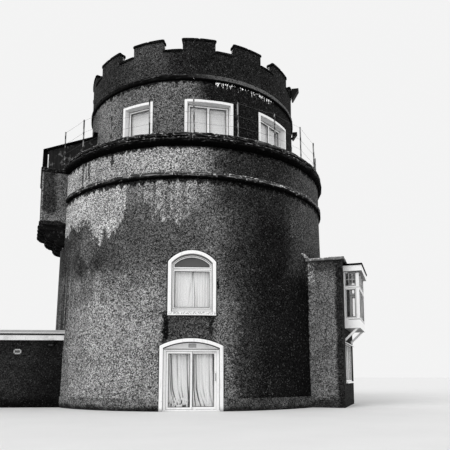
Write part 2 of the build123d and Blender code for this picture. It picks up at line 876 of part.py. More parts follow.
bay_frame_front = bay_front - bay_frame_setback
bay_width = bay_window_far - bay_window_near
bay_face = rectangle(bay_window_near, bay_window_far, bay_window_bottom, bay_window_top)
bay_light = (bay_width - (oriel_light_count + 1) * bay_frame_bar) / oriel_light_count
for i in range(oriel_light_count):
    left = bay_window_near + bay_frame_bar + i * (bay_light + bay_frame_bar)
    light = rectangle(left, left + bay_light, bay_window_bottom + bay_frame_bar,
                      bay_window_top - bay_frame_bar)
    bay_face -= light
    middle = bay_frame_front - (bay_frame_depth + glass_thickness) / 2
    glazing.append(turned(slab(light, middle, middle + glass_thickness), bay_azimuth))
save("bay_window_frame", turned(slab(bay_face, bay_frame_front - bay_frame_depth, bay_frame_front),
                                bay_azimuth))
hood_outline = Polyline(
    (bay_front, bay_window_top),
    (bay_front + hood_projection, bay_window_top - hood_depth),
    (bay_front + hood_projection, bay_window_top - hood_depth / 2),
    (bay_front, bay_window_top + hood_depth),
    close=True,
)
hood = across(hood_outline, bay_window_near - hood_depth, bay_window_far + hood_depth)
bay_sill = box(bay_window_near - hood_depth, bay_window_far + hood_depth, bay_front,
               bay_front + hood_projection / 2, bay_window_bottom - bay_sill_depth, bay_window_bottom)
save("bay_window_hood", turned(hood, bay_azimuth), turned(bay_sill, bay_azimuth))

# Oriel: tray, glazed frame, fascia, roof sheet and two brackets
near_side = bay_window_near
far_side = bay_window_far
tray = box(near_side, far_side, bay_front, oriel_front, oriel_bottom, oriel_sill)
tray -= box(near_side + oriel_frame, far_side - oriel_frame, bay_front, oriel_front - oriel_frame,
            oriel_bottom + oriel_floor, oriel_sill)
save("oriel_base", turned(tray, bay_azimuth))

light_rows = ((oriel_light_bottom, oriel_transom_bottom), (oriel_transom_top, oriel_light_top))
front_face = rectangle(near_side, far_side, oriel_sill, oriel_head)
front_light = (far_side - near_side - (oriel_light_count + 1) * oriel_post) / oriel_light_count
pane_near = oriel_front - (oriel_frame + glass_thickness) / 2
for low, high in light_rows:
    for i in range(oriel_light_count):
        left = near_side + oriel_post + i * (front_light + oriel_post)
        light = rectangle(left, left + front_light, low, high)
        front_face -= light
        glazing.append(turned(slab(light, pane_near, pane_near + glass_thickness), bay_azimuth))
oriel = slab(front_face, oriel_front - oriel_frame, oriel_front)
side_light_near = bay_front + oriel_post
side_light_far = oriel_front - oriel_frame - oriel_post
for left in (near_side, far_side - oriel_frame):
    oriel += box(left, left + oriel_frame, bay_front, oriel_front - oriel_frame, oriel_sill, oriel_head)
    for low, high in light_rows:
        oriel -= box(left, left + oriel_frame, side_light_near, side_light_far, low, high)
        pane_left = left + (oriel_frame - glass_thickness) / 2
        glazing.append(turned(box(pane_left, pane_left + glass_thickness, side_light_near,
                                  side_light_far, low, high), bay_azimuth))
save("oriel_frame", turned(oriel, bay_azimuth))
save("glazing", *glazing)

fascia = box(near_side - oriel_fascia_overhang, far_side + oriel_fascia_overhang, bay_front,
             oriel_front + oriel_fascia_overhang, oriel_head, oriel_fascia_top)
save("oriel_fascia", turned(fascia, bay_azimuth))
oriel_sheet = box(near_side - oriel_roof_overhang, far_side + oriel_roof_overhang, bay_front,
                  oriel_front + oriel_roof_overhang, oriel_fascia_top, oriel_roof_top)
save("oriel_roof", turned(oriel_sheet, bay_azimuth))
bracket_outline = Polyline(
    (bay_front, bracket_foot),
    (bay_front, bracket_foot + bracket_bar),
    (oriel_front - oriel_frame - bracket_bar, oriel_bottom),
    (oriel_front - oriel_frame, oriel_bottom),
    close=True,
)
save("oriel_brackets", *[
    turned(across(bracket_outline, left, left + bracket_width), bay_azimuth)
    for left in (near_side + oriel_frame, far_side - oriel_frame - bracket_width)
])

# Wing: walls on three sides, flat roof with a stepped white fascia
wing_walls = box(-wing_end, 0, wing_back, wing_front, 0, wing_wall_top)
wing_walls -= box(-wing_end + wing_wall, 0, wing_back + wing_wall, wing_front - wing_wall,
                  0, wing_wall_top)
wing_walls -= box(wing_door_centre - wing_door_width / 2, wing_door_centre + wing_door_width / 2,
                  wing_back, wing_back + wing_wall, 0, wing_door_top)
wing_walls -= box(wing_window_centre - wing_window_width / 2, wing_window_centre + wing_window_width / 2,
                  wing_back, wing_back + wing_wall, wing_window_bottom, wing_door_top)
save("wing_walls", wing_walls - drum)
save("wing_roof", box(-wing_end, 0, wing_back, wing_front, wing_wall_top, wing_roof_top) - drum)


def wing_rim(inner_offset, outer_offset, bottom, top):
    rim = box(-wing_end - outer_offset, 0, wing_back - outer_offset, wing_front + outer_offset, bottom, top)
    return rim - box(-wing_end - inner_offset, 0, wing_back - inner_offset, wing_front + inner_offset,
                     bottom, top)


wing_fascia = wing_rim(0, fascia_lower_projection, wing_wall_top, fascia_step_level)
wing_fascia += wing_rim(0, fascia_lower_projection / 2, fascia_step_level,
                        fascia_step_level + fascia_groove)
wing_fascia += wing_rim(0, fascia_upper_projection, fascia_step_level + fascia_groove, fascia_top)
save("wing_fascia", wing_fascia - drum)

wing_frame_near = wing_back + wing_joinery_setback
wing_door = box(wing_door_centre - wing_door_width / 2, wing_door_centre + wing_door_width / 2,
                wing_frame_near, wing_frame_near + wing_joinery_depth, floor_thickness, wing_door_top)
wing_window = box(wing_window_centre - wing_window_width / 2, wing_window_centre + wing_window_width / 2,
                  wing_frame_near, wing_frame_near + wing_joinery_depth, wing_window_bottom, wing_door_top)
save("wing_rear_joinery", wing_door, wing_window)

vent = box(vent_centre - vent_width / 2, vent_centre + vent_width / 2, wing_front,
           wing_front + vent_depth, vent_level, vent_level + vent_height)
lamp_outline = Polyline(
    (wing_front, lamp_top),
    (wing_front + lamp_depth, lamp_top),
    (wing_front + lamp_depth, lamp_top - lamp_foot_depth),
    (wing_front + lamp_foot_depth, lamp_top - lamp_height),
    (wing_front, lamp_top - lamp_height),
    close=True,
)
lamp = across(lamp_outline, lamp_centre - lamp_width / 2, lamp_centre + lamp_width / 2)
save("wing_vent_and_lamp", vent, lamp)


# Floodlights: a wedge-shaped housing on a bracket, one on the parapet and one over the gallery
def floodlight(top, depth, height, width):
    near = upper_radius + floodlight_gap
    outline = Polyline(
        (near, top),
        (near + depth, top),
        (near + depth, top - floodlight_lip),
        (near + floodlight_foot, top - height),
        (near, top - height),
        close=True,
    )
    bracket_top = top - floodlight_bracket_drop
    bracket = box(-floodlight_bracket / 2, floodlight_bracket / 2, upper_radius - floodlight_gap, near,
                  bracket_top - floodlight_bracket, bracket_top)
    return across(outline, -width / 2, width / 2) + bracket


save("floodlights", *[
    turned(floodlight(*sizes), floodlight_azimuth) - top_drum for sizes in floodlights
])
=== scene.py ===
import math
import random

import bmesh
import bpy
from mathutils import Matrix, Vector, noise


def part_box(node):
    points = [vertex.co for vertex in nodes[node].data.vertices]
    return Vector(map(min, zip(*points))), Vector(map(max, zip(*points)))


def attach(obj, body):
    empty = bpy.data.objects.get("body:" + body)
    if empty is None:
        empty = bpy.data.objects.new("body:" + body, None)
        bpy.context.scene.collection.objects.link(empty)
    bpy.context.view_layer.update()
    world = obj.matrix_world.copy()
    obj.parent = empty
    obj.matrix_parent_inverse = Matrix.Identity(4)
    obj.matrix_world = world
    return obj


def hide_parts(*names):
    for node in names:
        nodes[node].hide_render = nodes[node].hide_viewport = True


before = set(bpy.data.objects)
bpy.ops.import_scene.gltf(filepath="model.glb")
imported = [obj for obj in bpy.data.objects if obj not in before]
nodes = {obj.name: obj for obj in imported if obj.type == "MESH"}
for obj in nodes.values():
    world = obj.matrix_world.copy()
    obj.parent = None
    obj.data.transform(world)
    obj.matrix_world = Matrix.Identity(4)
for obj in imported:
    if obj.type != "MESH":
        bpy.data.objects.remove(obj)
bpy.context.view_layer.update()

scene = bpy.context.scene
scene.view_settings.view_transform = "Standard"

# Camera
# It stands on the grass 23 m in front of the door, at the eye level of someone sitting, and is tipped up.
# The shift keeps the door at the foot of the square frame.
eye = Vector((0, -23.249, 1.17))
tilt_up, turn_right = math.radians(7), math.radians(3.7)
camera_data = bpy.data.cameras.new("camera")
camera_data.sensor_width = 36
camera_data.lens = 41.376
camera_data.shift_y = 0.1944
camera_data.clip_end = 900
camera = bpy.data.objects.new("camera", camera_data)
camera.location = eye
camera.rotation_euler = (math.pi / 2 + tilt_up, 0, -turn_right)
scene.collection.objects.link(camera)
scene.camera = camera


# Render of the tower's walls
# Pebbledash: small stones thrown on wet mortar. Rain has washed the top left pale, damp and painted shade
# have turned the right side nearly black, and dirt and painted shadow run down from every ledge and sill.
class Wire:
    """A value on its way through a finish, on which plain arithmetic can be written."""

    def __init__(self, finish, socket):
        self.finish = finish
        self.socket = socket

    def __add__(self, other):
        return self.finish.maths("ADD", self, other)

    __radd__ = __add__

    def __mul__(self, other):
        return self.finish.maths("MULTIPLY", self, other)

    __rmul__ = __mul__

    def __sub__(self, other):
        return self.finish.maths("SUBTRACT", self, other)

    def __rsub__(self, other):
        return self.finish.maths("SUBTRACT", other, self)

    def __truediv__(self, other):
        return self.finish.maths("DIVIDE", self, other)

    def __rtruediv__(self, other):
        return self.finish.maths("DIVIDE", other, self)

    def __abs__(self):
        return self.finish.maths("ABSOLUTE", self)

    def out(self, name):
        return Wire(self.finish, self.socket.node.outputs[name])


def shade(level):
    # A grey as it looks in the print, from 0 to 255, turned into the light it gives back.
    return tuple([(level / 255) ** 2.2] * 3 + [1])


class Finish:
    """The nodes of one material, read in metres from the piece's own place on the tower."""

    def __init__(self, name, owner=None):
        self.material = owner or bpy.data.materials.new(name)
        self.material.use_nodes = True
        self.tree = self.material.node_tree
        self.tree.nodes.clear()
        self.place = self.node("ShaderNodeTexCoord", output="Object")
        self.x = self.node("ShaderNodeSeparateXYZ", {}, {"Vector": self.place}, "X")
        self.y = self.x.out("Y")
        self.z = self.x.out("Z")

    def node(self, kind, settings=None, sockets=None, output=0):
        made = self.tree.nodes.new(kind)
        for name, value in (settings or {}).items():
            setattr(made, name, value)
        for name, value in (sockets or {}).items():
            if isinstance(value, Wire):
                self.tree.links.new(value.socket, made.inputs[name])
            else:
                made.inputs[name].default_value = value
        return Wire(self, made.outputs[output]) if made.outputs else None

    def maths(self, operation, *terms):
        return self.node("ShaderNodeMath", {"operation": operation}, dict(enumerate(terms)))

    def larger(self, first, second):
        return self.maths("MAXIMUM", first, second)

    def length(self, first, second):
        return self.maths("SQRT", first * first + second * second)

    def azimuth(self):
        # Degrees round the tower from the patio door, positive to the right.
        return self.maths("ARCTAN2", self.x, 0 - self.y) * math.degrees(1)

    def lift(self):
        # How far the surface looks up: 1 on a top, 0 on a wall and -1 on an underside.
        normal = self.node("ShaderNodeNewGeometry", output="Normal")
        return self.node("ShaderNodeSeparateXYZ", {}, {"Vector": normal}, "Z")

    def rise(self, value, low, high):
        ends = {"Value": value, "From Min": low, "From Max": high}
        return self.node("ShaderNodeMapRange", {"interpolation_type": "SMOOTHSTEP"}, ends)

    def fall(self, value, low, high):
        return 1 - self.rise(value, low, high)

    def grain(self, scale, detail=3, place=None):
        sockets = {"Vector": place or self.place, "Scale": scale, "Detail": detail}
        return self.node("ShaderNodeTexNoise", {}, sockets)

    def streaks(self, x, y, z, detail=4):
        # Grain with its own number of marks to the metre along each axis.
        place = self.node("ShaderNodeVectorMath", {"operation": "MULTIPLY"}, {0: self.place, 1: (x, y, z)})
        return self.grain(1, detail, place)

    def cells(self, scale, output="Distance"):
        return self.node("ShaderNodeTexVoronoi", {}, {"Vector": self.place, "Scale": scale}, output)

    def mix(self, mask, under, over):
        # A colour that is given as a number is a grey of the print.
        under, over = (shade(tone) if isinstance(tone, (int, float)) else tone for tone in (under, over))
        settings = {"data_type": "RGBA", "clamp_factor": True}
        return self.node("ShaderNodeMix", settings, {0: mask, 6: under, 7: over}, 2)

    def times(self, colour, value):
        grey = self.node("ShaderNodeCombineXYZ", {}, {0: value, 1: value, 2: value})
        return self.node("ShaderNodeVectorMath", {"operation": "MULTIPLY"}, {0: colour, 1: grey})

    def patch(self, u, v, centre, half, soft):
        across = abs(u - centre[0]) / half[0]
        along = abs(v - centre[1]) / half[1]
        return self.fall(self.larger(across, along), 1 - soft, 1 + soft)

    def stained(self, tone, u, v, *marks):
        # Soft marks over a tone, each from its centre and half size in u and v, softness, strength and grey.
        for centre, half, soft, strength, grey in marks:
            tone = self.mix(self.patch(u, v, centre, half, soft) * strength, tone, grey)
        return tone

    def profile(self, value, stops, lowest, highest):
        # A level that changes along value, straight from one stop (value, level) to the next.
        first, last = stops[0][0], stops[-1][0]
        share = self.node("ShaderNodeMapRange", {}, {"Value": value, "From Min": first, "From Max": last})
        ramp = self.node("ShaderNodeValToRGB", {}, {"Fac": share})
        marks = ramp.socket.node.color_ramp.elements
        for place, level in stops[1:-1]:
            marks.new((place - first) / (last - first))
        for mark, (place, level) in zip(marks, stops):
            height = (level - lowest) / (highest - lowest)
            mark.color = (height, height, height, 1)
        return lowest + (highest - lowest) * ramp

    def bump(self, height, depth, strength=1.0, under=None):
        sockets = {"Height": height, "Distance": depth, "Strength": strength}
        if under:
            sockets["Normal"] = under
        return self.node("ShaderNodeBump", {}, sockets)

    def surface(self, colour, roughness, normal=None, **others):
        sockets = {"Base Color": colour, "Roughness": roughness}
        if normal:
            sockets["Normal"] = normal
        sockets.update({name.replace("_", " "): value for name, value in others.items()})
        shader = self.node("ShaderNodeBsdfPrincipled", {}, sockets)
        self.node("ShaderNodeOutputMaterial", {}, {"Surface": shader})
        return self.material


def dress(material, *names):
    for name in names:
        mesh = nodes[name].data
        mesh.materials.clear()
        mesh.materials.append(material)


def pebbledash(finish, colour, contrast=0.6):
    # Thrown stones about 4 cm apart: most as dark as the mortar, some pale, a few nearly white.
    stones = finish.cells(25, "Color")
    stone = finish.node("ShaderNodeSeparateXYZ", {}, {"Vector": stones})
    grit, fine = finish.grain(31, 3), finish.grain(62, 2)
    mottle, blotch = finish.grain(1.3, 5), finish.grain(0.45, 3)
    gain = 1 + contrast * ((stone - 0.5) * 4.2 + (grit - 0.5) * 13 + (fine - 0.5) * 12)
    gain = gain * (0.5 + mottle) * (0.76 + blotch * 0.48)
    colour = finish.times(colour, finish.larger(gain, 0.08))
    clean = finish.rise(stone + (grit - 0.5) * 0.9, 0.93, 1.1)
    colour = finish.mix(clean * 0.3 * contrast, colour, 170)
    height = 1 - finish.cells(38) + grit * 0.6
    return finish.surface(colour, 0.88 + 0.1 * mottle, finish.bump(height, 0.012, 0.9), IOR=1.12)


walls = Finish("pebbledash_tower")
azimuth = walls.azimuth()
wobble = walls.grain(0.6, 4) - 0.5
fray = walls.grain(7, 5) - 0.5
tufts = walls.streaks(3.4, 3.4, 0.8, 5) - 0.5
drips = walls.streaks(6.5, 6.5, 0.25) - 0.5
side = azimuth + wobble * 10 + fray * 9
run = walls.z + wobble * 1.2 + fray * 1.1
mottled = walls.rise(walls.grain(1.1, 5), 0.4, 0.62)

# Left half dry and mid grey, right half dark: soaked, and painted shade of the side turned from the light.
# Soot lies in clouds under the washed part.
damp_and_shade = walls.profile(side, [(-180, 0.5), (-90, 0.55), (-66, 0.4), (-54, 0.26), (-46, 0.1), (-32, 0),
                                (-14, 0.1), (-7, 0.26), (4, 0.42), (9, 0.62), (14, 0.86), (24, 0.97), (60, 1),
                                (110, 0.9), (150, 0.6), (180, 0.5)], 0, 1)
dry, soaked_and_shaded = 133, 14
tone = walls.mix(damp_and_shade, dry, soaked_and_shaded)
tone = walls.stained(tone, side, run,
                     ((-62, 4.2), (9, 2.2), 0.5, 0.3 + walls.rise(drips, -0.08, 0.05) * 0.65, 46),
                     ((-40, 4.6), (42, 1.1), 0.5, mottled * 0.7, 82),
                     ((-47, 5.9), (27, 1.0), 0.35, 0.65 + 0.35 * mottled, 46),
                     ((-33, 5.5), (6, 0.9), 0.5, 0.6, 62),
                     ((-12, 6.2), (17, 1.2), 0.4, 0.9, 76),
                     ((30, 8.3), (24, 1.3), 0.35, 0.8, 42),
                     ((60, 7.8), (17, 2.2), 0.5, 1, 70))
tone = walls.stained(tone, side, walls.z, ((11.5, 1.6), (3.4, 2.2), 0.5, 0.85, 98))
tone = walls.stained(tone, azimuth + fray * 4, walls.z, ((-1, 2.85), (8, 0.5), 0.3, 1, 66))

# Rain has washed the top of the left side pale, down to a ragged line with tufts of growth on it.
tide = walls.profile(azimuth + fray * 5, [(-180, 6.9), (-76, 6.6), (-66, 6.45), (-58, 6.75), (-50, 6.95),
                                          (-42, 6.95), (-39.5, 6.3), (-34, 6.15), (-29, 6.3), (-26, 6.75),
                                          (-24.6, 6.9), (-24.3, 8.2), (-19, 8.15), (-18, 7.2), (-16, 7.2),
                                          (-13, 6.8), (-9, 6.55), (-3, 6.6), (2, 6.9), (5, 7.4), (8, 8.0)],
                     5, 10)
washed = walls.rise(walls.z + tufts * 1.6 + fray * 1.1 - tide, -0.13, 0.13)
washed = washed * walls.fall(side, -9, 12) * walls.rise(azimuth + wobble * 12, -168, -140)
thin = walls.patch(azimuth + fray * 7, walls.z, (-10, 7.4), (14, 0.75), 0.3)
pale = walls.mix(thin * (0.4 + 0.5 * walls.rise(drips, -0.06, 0.08)), 150, 98)
pale = walls.mix(walls.rise(walls.z, 8.1, 8.2), pale, 140)
pale = walls.mix(walls.fall(azimuth, -64, -40) * walls.rise(azimuth, -110, -80), pale, 166)
tone = walls.mix(washed, tone, pale)
tone = walls.stained(tone, azimuth + fray * 3, run, ((-22, 7.5), (2.2, 0.7), 0.25, 0.7, 84))

# Black runs below the window's corners and below the cornice, and a gouge right of the window.
ragged = azimuth + fray * 2.4
for centre, half, strength, grey in (
        ((-8.7, 2.78), (0.95, 0.52), 0.95, 6), ((6.3, 2.9), (0.8, 0.36), 0.8, 14),
        ((-47.4, 8.85), (0.7, 0.55), 0.8, 48), ((-45.2, 8.95), (0.45, 0.42), 0.7, 52),
        ((-43.2, 8.9), (0.6, 0.5), 0.8, 48), ((-31, 9.05), (0.6, 0.3), 0.9, 34),
        ((9, 4.32), (0.35, 0.16), 0.9, 6), ((-38, 8.9), (1.0, 0.6), 0.3, 90)):
    tone = walls.stained(tone, ragged, walls.z, (centre, half, 0.35, strength, grey))

# A dark edge on the wall along the white bands: painted shadow of the bands, and grime.
front = walls.rise(0 - walls.y, 5, 5.1)
for half, crown, arc, sill in ((0.825, 5.47, 1.068, 3.21), (1.075, 2.43, 2.436, -1)):
    over_springing = walls.larger(walls.z - (crown - arc), 0)
    past_arch = walls.length(walls.x, over_springing) - arc
    beyond = walls.larger(past_arch, walls.larger(abs(walls.x) - half, sill - walls.z))
    margin = walls.fall(beyond + fray * 0.08, 0.015, 0.06) * front
    tone = walls.mix(margin * 0.85, tone, 12)

# The added storey and its parapet: mid grey on the left, dark on the right as painted shade, with lime washed
# out under its band.
string_foot, drum_head, band_foot, parapet_foot = 8.05, 9.28, 12.43, 12.5
added = walls.rise(walls.z, drum_head - 0.02, drum_head)
not_at_back = walls.rise(azimuth, 110, 176)
upper = walls.mix(walls.rise(side, -2, 9) * (1 - 0.8 * not_at_back), 92, 30)
upper = walls.stained(upper, side, run, ((-50, 11.2), (9, 1.4), 0.4, 0.8, 116),
                      ((-72, 11.5), (8, 3.2), 0.7, 0.7, 60))
parapet_tone = walls.mix(walls.rise(side, -26, -6) * (1 - not_at_back), 46, 36)
parapet_tone = walls.stained(parapet_tone, side, run, ((-23, 13.2), (11, 0.9), 0.4, 0.8, 66))
upper = walls.mix(walls.rise(walls.z, parapet_foot, parapet_foot + 0.1), upper, parapet_tone)
clusters = walls.streaks(1.9, 1.9, 0.1, 2) - 0.5
lime_runs = walls.streaks(15, 15, 4, 3) - (band_foot - walls.z) * (0.75 - clusters * 2.2)
lime_runs = walls.rise(lime_runs + clusters * 0.35, 0.49, 0.54)
lime = walls.patch(azimuth, walls.z, (26, 12.29), (19, 0.17), 0.1) * lime_runs
tone = walls.mix(added, tone, upper)

# A dark fringe hangs under each course of stone: painted shadow of the ledge, and dirt run down from it.
# Splashed earth darkens the foot.
for ledge, reach_down, fringe in ((string_foot, 0.07, 0.6), (drum_head - 0.01, 0.045, 0.5),
                                  (band_foot, 0.045, 0.6)):
    below = ledge - walls.z
    shadow_and_dirt_fringe = walls.rise(reach_down + fringe * (drips + 0.06) - below, -0.02, 0.03)
    tone = walls.mix(shadow_and_dirt_fringe * walls.rise(below, -0.1, 0) * 0.9, tone, 12)
tone = walls.mix(lime * added, tone, 225)
tone = walls.times(tone, 1 - 0.45 * walls.fall(run, 0.0, 0.5))

# The faces towards the rooms are clean.
inner_drum, inner_storey = 5.45, 4.42
inner_edge = inner_drum - (inner_drum - inner_storey) * added
room_side = walls.fall(walls.length(walls.x, walls.y), inner_edge - 0.02, inner_edge)
tone = walls.mix(room_side, tone, 150)
dress(pebbledash(walls, tone), "wall_beside_door", "wall_flanks", "wall_rear_flanks", "wall_rear_quarters",
      "wall_rear", "wall_over_openings", "wall_beside_window", "upper_wall_piers", "upper_wall_panels",
      "parapet", "merlons")


# Light and floor
# An overcast sky, a little stronger from the upper left and over the sea on the right, and pale level
# ground that keeps the shadow.
world = bpy.data.worlds.new("overcast")
sky = Finish("sky", world)
seen = sky.node("ShaderNodeLightPath", output="Is Camera Ray")
straight = sky.larger(seen, sky.larger(seen.out("Is Glossy Ray"), seen.out("Is Transmission Ray")))
sea_side = sky.rise(sky.x, 0.1, 0.9) * (1 - straight)
cloud_light, seen_more, sea_more = 0.74, 0.16, 0.45
strength = cloud_light + seen_more * straight + sea_more * sea_side
glow = sky.node("ShaderNodeBackground", {}, {"Color": (1, 1, 1, 1), "Strength": strength})
sky.node("ShaderNodeOutputWorld", {}, {"Surface": glow})
scene.world = world

light_falls = Vector((0.62, 0.6, -0.75))
lamp_data = bpy.data.lights.new("daylight", "SUN")
lamp_data.energy = 1.0
lamp_data.angle = math.radians(35)
daylight = bpy.data.objects.new("daylight", lamp_data)
daylight.rotation_euler = light_falls.to_track_quat("-Z", "Y").to_euler()
scene.collection.objects.link(daylight)

floor_half, floor_level = 350, -0.004
floor_mesh = bpy.data.meshes.new("floor")
floor_corners = [(-floor_half, -floor_half, floor_level), (floor_half, -floor_half, floor_level),
                 (floor_half, floor_half, floor_level), (-floor_half, floor_half, floor_level)]
floor_mesh.from_pydata(floor_corners, [], [(0, 1, 2, 3)])
floor = bpy.data.objects.new("floor", floor_mesh)
scene.collection.objects.link(floor)
ground = Finish("pale_floor")
floor_mesh.materials.append(ground.surface(ground.mix(ground.grain(0.6, 4), 226, 236), 0.9))


# Render of the machicolation, the bay, the wing and the plinth
# The same thrown stones. Each box has its own tones: a pale arris on the machicolation, a dark margin
# down the bay's outer corner, and a dark, soaked wing.
def out_and_right(finish, bearing):
    # Distance out from the tower's axis along a bearing, and distance to the right of that line.
    angle = math.radians(bearing)
    out = finish.x * math.sin(angle) - finish.y * math.cos(angle)
    right = finish.x * math.cos(angle) + finish.y * math.sin(angle)
    return out, right


def smudged(finish, scale, detail, spread):
    # A cloudy grain about zero, and levels that waver with it.
    smudge = finish.grain(scale, detail) - 0.5
    return smudge, finish.z + smudge * spread


machicolation_bearing = -73
box_wall = Finish("pebbledash_machicolation")
out, right = out_and_right(box_wall, machicolation_bearing)
smudge, level = smudged(box_wall, 1.6, 4, 0.8)
tone = box_wall.mix(box_wall.rise(out + smudge * 0.5, 5.95, 6.15), 96, 54)
tone = box_wall.stained(tone, out, level, ((6.1, 7.3), (0.6, 0.28), 0.6, 0.8, 112))
tone = box_wall.stained(tone, right, level, ((0, 8.3), (0.7, 0.8), 0.6, 0.5, 34))
tone = box_wall.stained(tone, out, box_wall.z, ((6.58, 8.2), (0.03, 1.1), 0.4, 0.8, 120))
tone = box_wall.mix(box_wall.fall(level, 7.2, 7.26), tone, 40)
dress(pebbledash(box_wall, tone, contrast=0.42), "machicolation_walls")

bay_bearing, bay_half, bay_face = 66.9, 1.4, 6.59
bay_wall = Finish("pebbledash_bay")
out, right = out_and_right(bay_wall, bay_bearing)
smudge, level = smudged(bay_wall, 1.5, 4, 0.6)
tone = bay_wall.mix(smudge + 0.5, 82, 112)
tone = bay_wall.mix(bay_wall.rise(out + smudge * 0.25, 6.55, 6.68), tone, 40)
tone = bay_wall.mix(bay_wall.rise(level, 5.1, 5.35) * 0.75, tone, 52)
tone = bay_wall.mix(bay_wall.fall(level, 0.15, 0.4) * 0.8, tone, 36)
inside = bay_wall.fall(bay_wall.larger(abs(right) - bay_half, out - bay_face), 0, 0.01)
tone = bay_wall.mix(inside, tone, 150)
spill = bay_wall.rise(bay_wall.grain(14, 4), 0.47, 0.56)
tone = bay_wall.stained(tone, out, bay_wall.z, ((5.62, 5.15), (0.2, 0.35), 0.5, spill * 0.8, 200))
wavering = out + (bay_wall.grain(8, 4) - 0.5) * 0.2
tone = bay_wall.stained(tone, wavering, bay_wall.z, ((5.55, 2.6), (0.05, 3.4), 0.5, 1, 14))
dress(pebbledash(bay_wall, tone, contrast=0.42), "bay_side_walls", "bay_outer_wall")

wing_wall = Finish("pebbledash_wing")
smudge, level = smudged(wing_wall, 1.1, 4, 0.7)
tone = wing_wall.mix(smudge + 0.5, 22, 40)
tone = wing_wall.stained(tone, wing_wall.x, level, ((-7.3, 1.2), (1.2, 0.9), 0.6, 0.6, 56))
tone = wing_wall.mix(wing_wall.fall(level, 0.1, 0.5), tone, 20)
dress(pebbledash(wing_wall, tone, contrast=0.32), "wing_walls")

skirting = Finish("rough_plinth")
smudge, level = smudged(skirting, 2.2, 5, 0.3)
tone = skirting.mix(skirting.fall(skirting.x + skirting.y * 0.2, -0.6, 0.4), 64, 112)
tone = skirting.mix(skirting.rise(smudge + 0.5, 0.42, 0.7), tone, 82)
tone = skirting.mix(skirting.fall(level, 0.05, 0.22), tone, 40)
dress(pebbledash(skirting, tone, contrast=0.5), "plinth")


# Floors, vault, gallery and roof
# Cast floors, a plastered brick vault, square paving laid round the gallery and a felted roof.
cast = Finish("cast_floor")
cloud = cast.grain(1.8, 5)
tone = cast.times(cast.mix(cloud, 128, 168), 0.8 + 0.4 * cast.grain(40, 3))
dress(cast.surface(tone, 0.75 + 0.2 * cloud, cast.bump(cast.grain(60, 4), 0.002)),
      "ground_floor", "first_floor", "vault", "top_floor")

paving = Finish("gallery_paving")
storey_radius, paving_radius = 4.59, 5.0
round_the_gallery = paving.maths("ARCTAN2", paving.x, 0 - paving.y) * paving_radius
outward = paving.length(paving.x, paving.y) - storey_radius
slab = paving.node("ShaderNodeCombineXYZ", {}, {0: round_the_gallery, 1: outward, 2: 0})
flags = {"Vector": slab, "Color1": shade(108), "Color2": shade(140), "Mortar": shade(52), "Scale": 1.0,
         "Mortar Size": 0.012, "Brick Width": 0.6, "Row Height": 0.43}
laid = paving.node("ShaderNodeTexBrick", {"offset": 0.5}, flags)
dirt = paving.grain(2.4, 5)
tone = paving.times(laid, 0.55 + 0.7 * dirt)
worn = paving.bump(laid.out("Fac"), -0.004, 1, paving.bump(paving.grain(45, 4), 0.003))
dress(paving.surface(tone, 0.9 - 0.2 * dirt, worn), "gallery_paving")

felt = Finish("roof_felt")
weather = felt.grain(1.2, 5)
laps = felt.maths("PINGPONG", felt.x + (weather - 0.5) * 0.02, 0.5)
seam = felt.fall(laps, 0.0, 0.012)
tone = felt.mix(weather, 34, 66)
tone = felt.mix(felt.rise(felt.grain(90, 2), 0.55, 0.7) * 0.4, tone, 96)
tone = felt.mix(seam, tone, 22)
grit = felt.bump(felt.grain(120, 3), 0.002)
dress(felt.surface(tone, 0.82 + 0.12 * weather, felt.bump(seam, -0.006, 1, grit)), "roof", "wing_roof")
tar = Finish("tarred_felt")
runs = tar.streaks(8, 8, 2)
level_top = tar.rise(tar.lift(), 0.3, 0.8)
tone = tar.mix(runs, 2, 10)
tone = tar.mix(level_top * runs, tone, 40)
tone = tar.mix(tar.rise(tar.grain(13, 4), 0.6, 0.7) * level_top * 0.5, tone, 80)
dress(tar.surface(tone, 0.7 + 0.3 * runs, tar.bump(tar.grain(30, 4), 0.006), IOR=1.1),
      "lean_to_roof", "oriel_roof")


# Stone courses round the tower
# The string course, the cornice and the parapet band: cut stones about 70 cm long, worn round at their
# edges, with open joints. They are dark with weather and painted shade below, and lichen and lime whiten
# their upper edges.
def new_mesh(name, vertices, faces):
    mesh = bpy.data.meshes.new(name)
    mesh.from_pydata([tuple(vertex) for vertex in vertices], [], faces)
    mesh.validate()
    return mesh


def add_piece(name, form, material, replaced=None, body="tower", smooth=False):
    # A piece from a mesh, or from its points and faces. It may stand in for a node of the solids.
    mesh = form if isinstance(form, bpy.types.Mesh) else new_mesh(name, *form)
    piece = bpy.data.objects.new(name, mesh)
    scene.collection.objects.link(piece)
    mesh.materials.append(material)
    for polygon in mesh.polygons:
        polygon.use_smooth = smooth
    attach(piece, body)
    if replaced:
        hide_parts(replaced)
    return piece


def round_tower(turn, radius, level=0):
    # The spot at an angle from the patio door, a distance from the tower's axis and a level.
    return Vector((radius * math.sin(turn), -radius * math.cos(turn), level))


def resampled(outline, spacing):
    points = []
    for (r0, z0), (r1, z1) in zip(outline, outline[1:] + outline[:1]):
        steps = max(1, round(math.hypot(r1 - r0, z1 - z0) / spacing))
        points += [(r0 + (r1 - r0) * i / steps, z0 + (z1 - z0) * i / steps) for i in range(steps)]
    return points


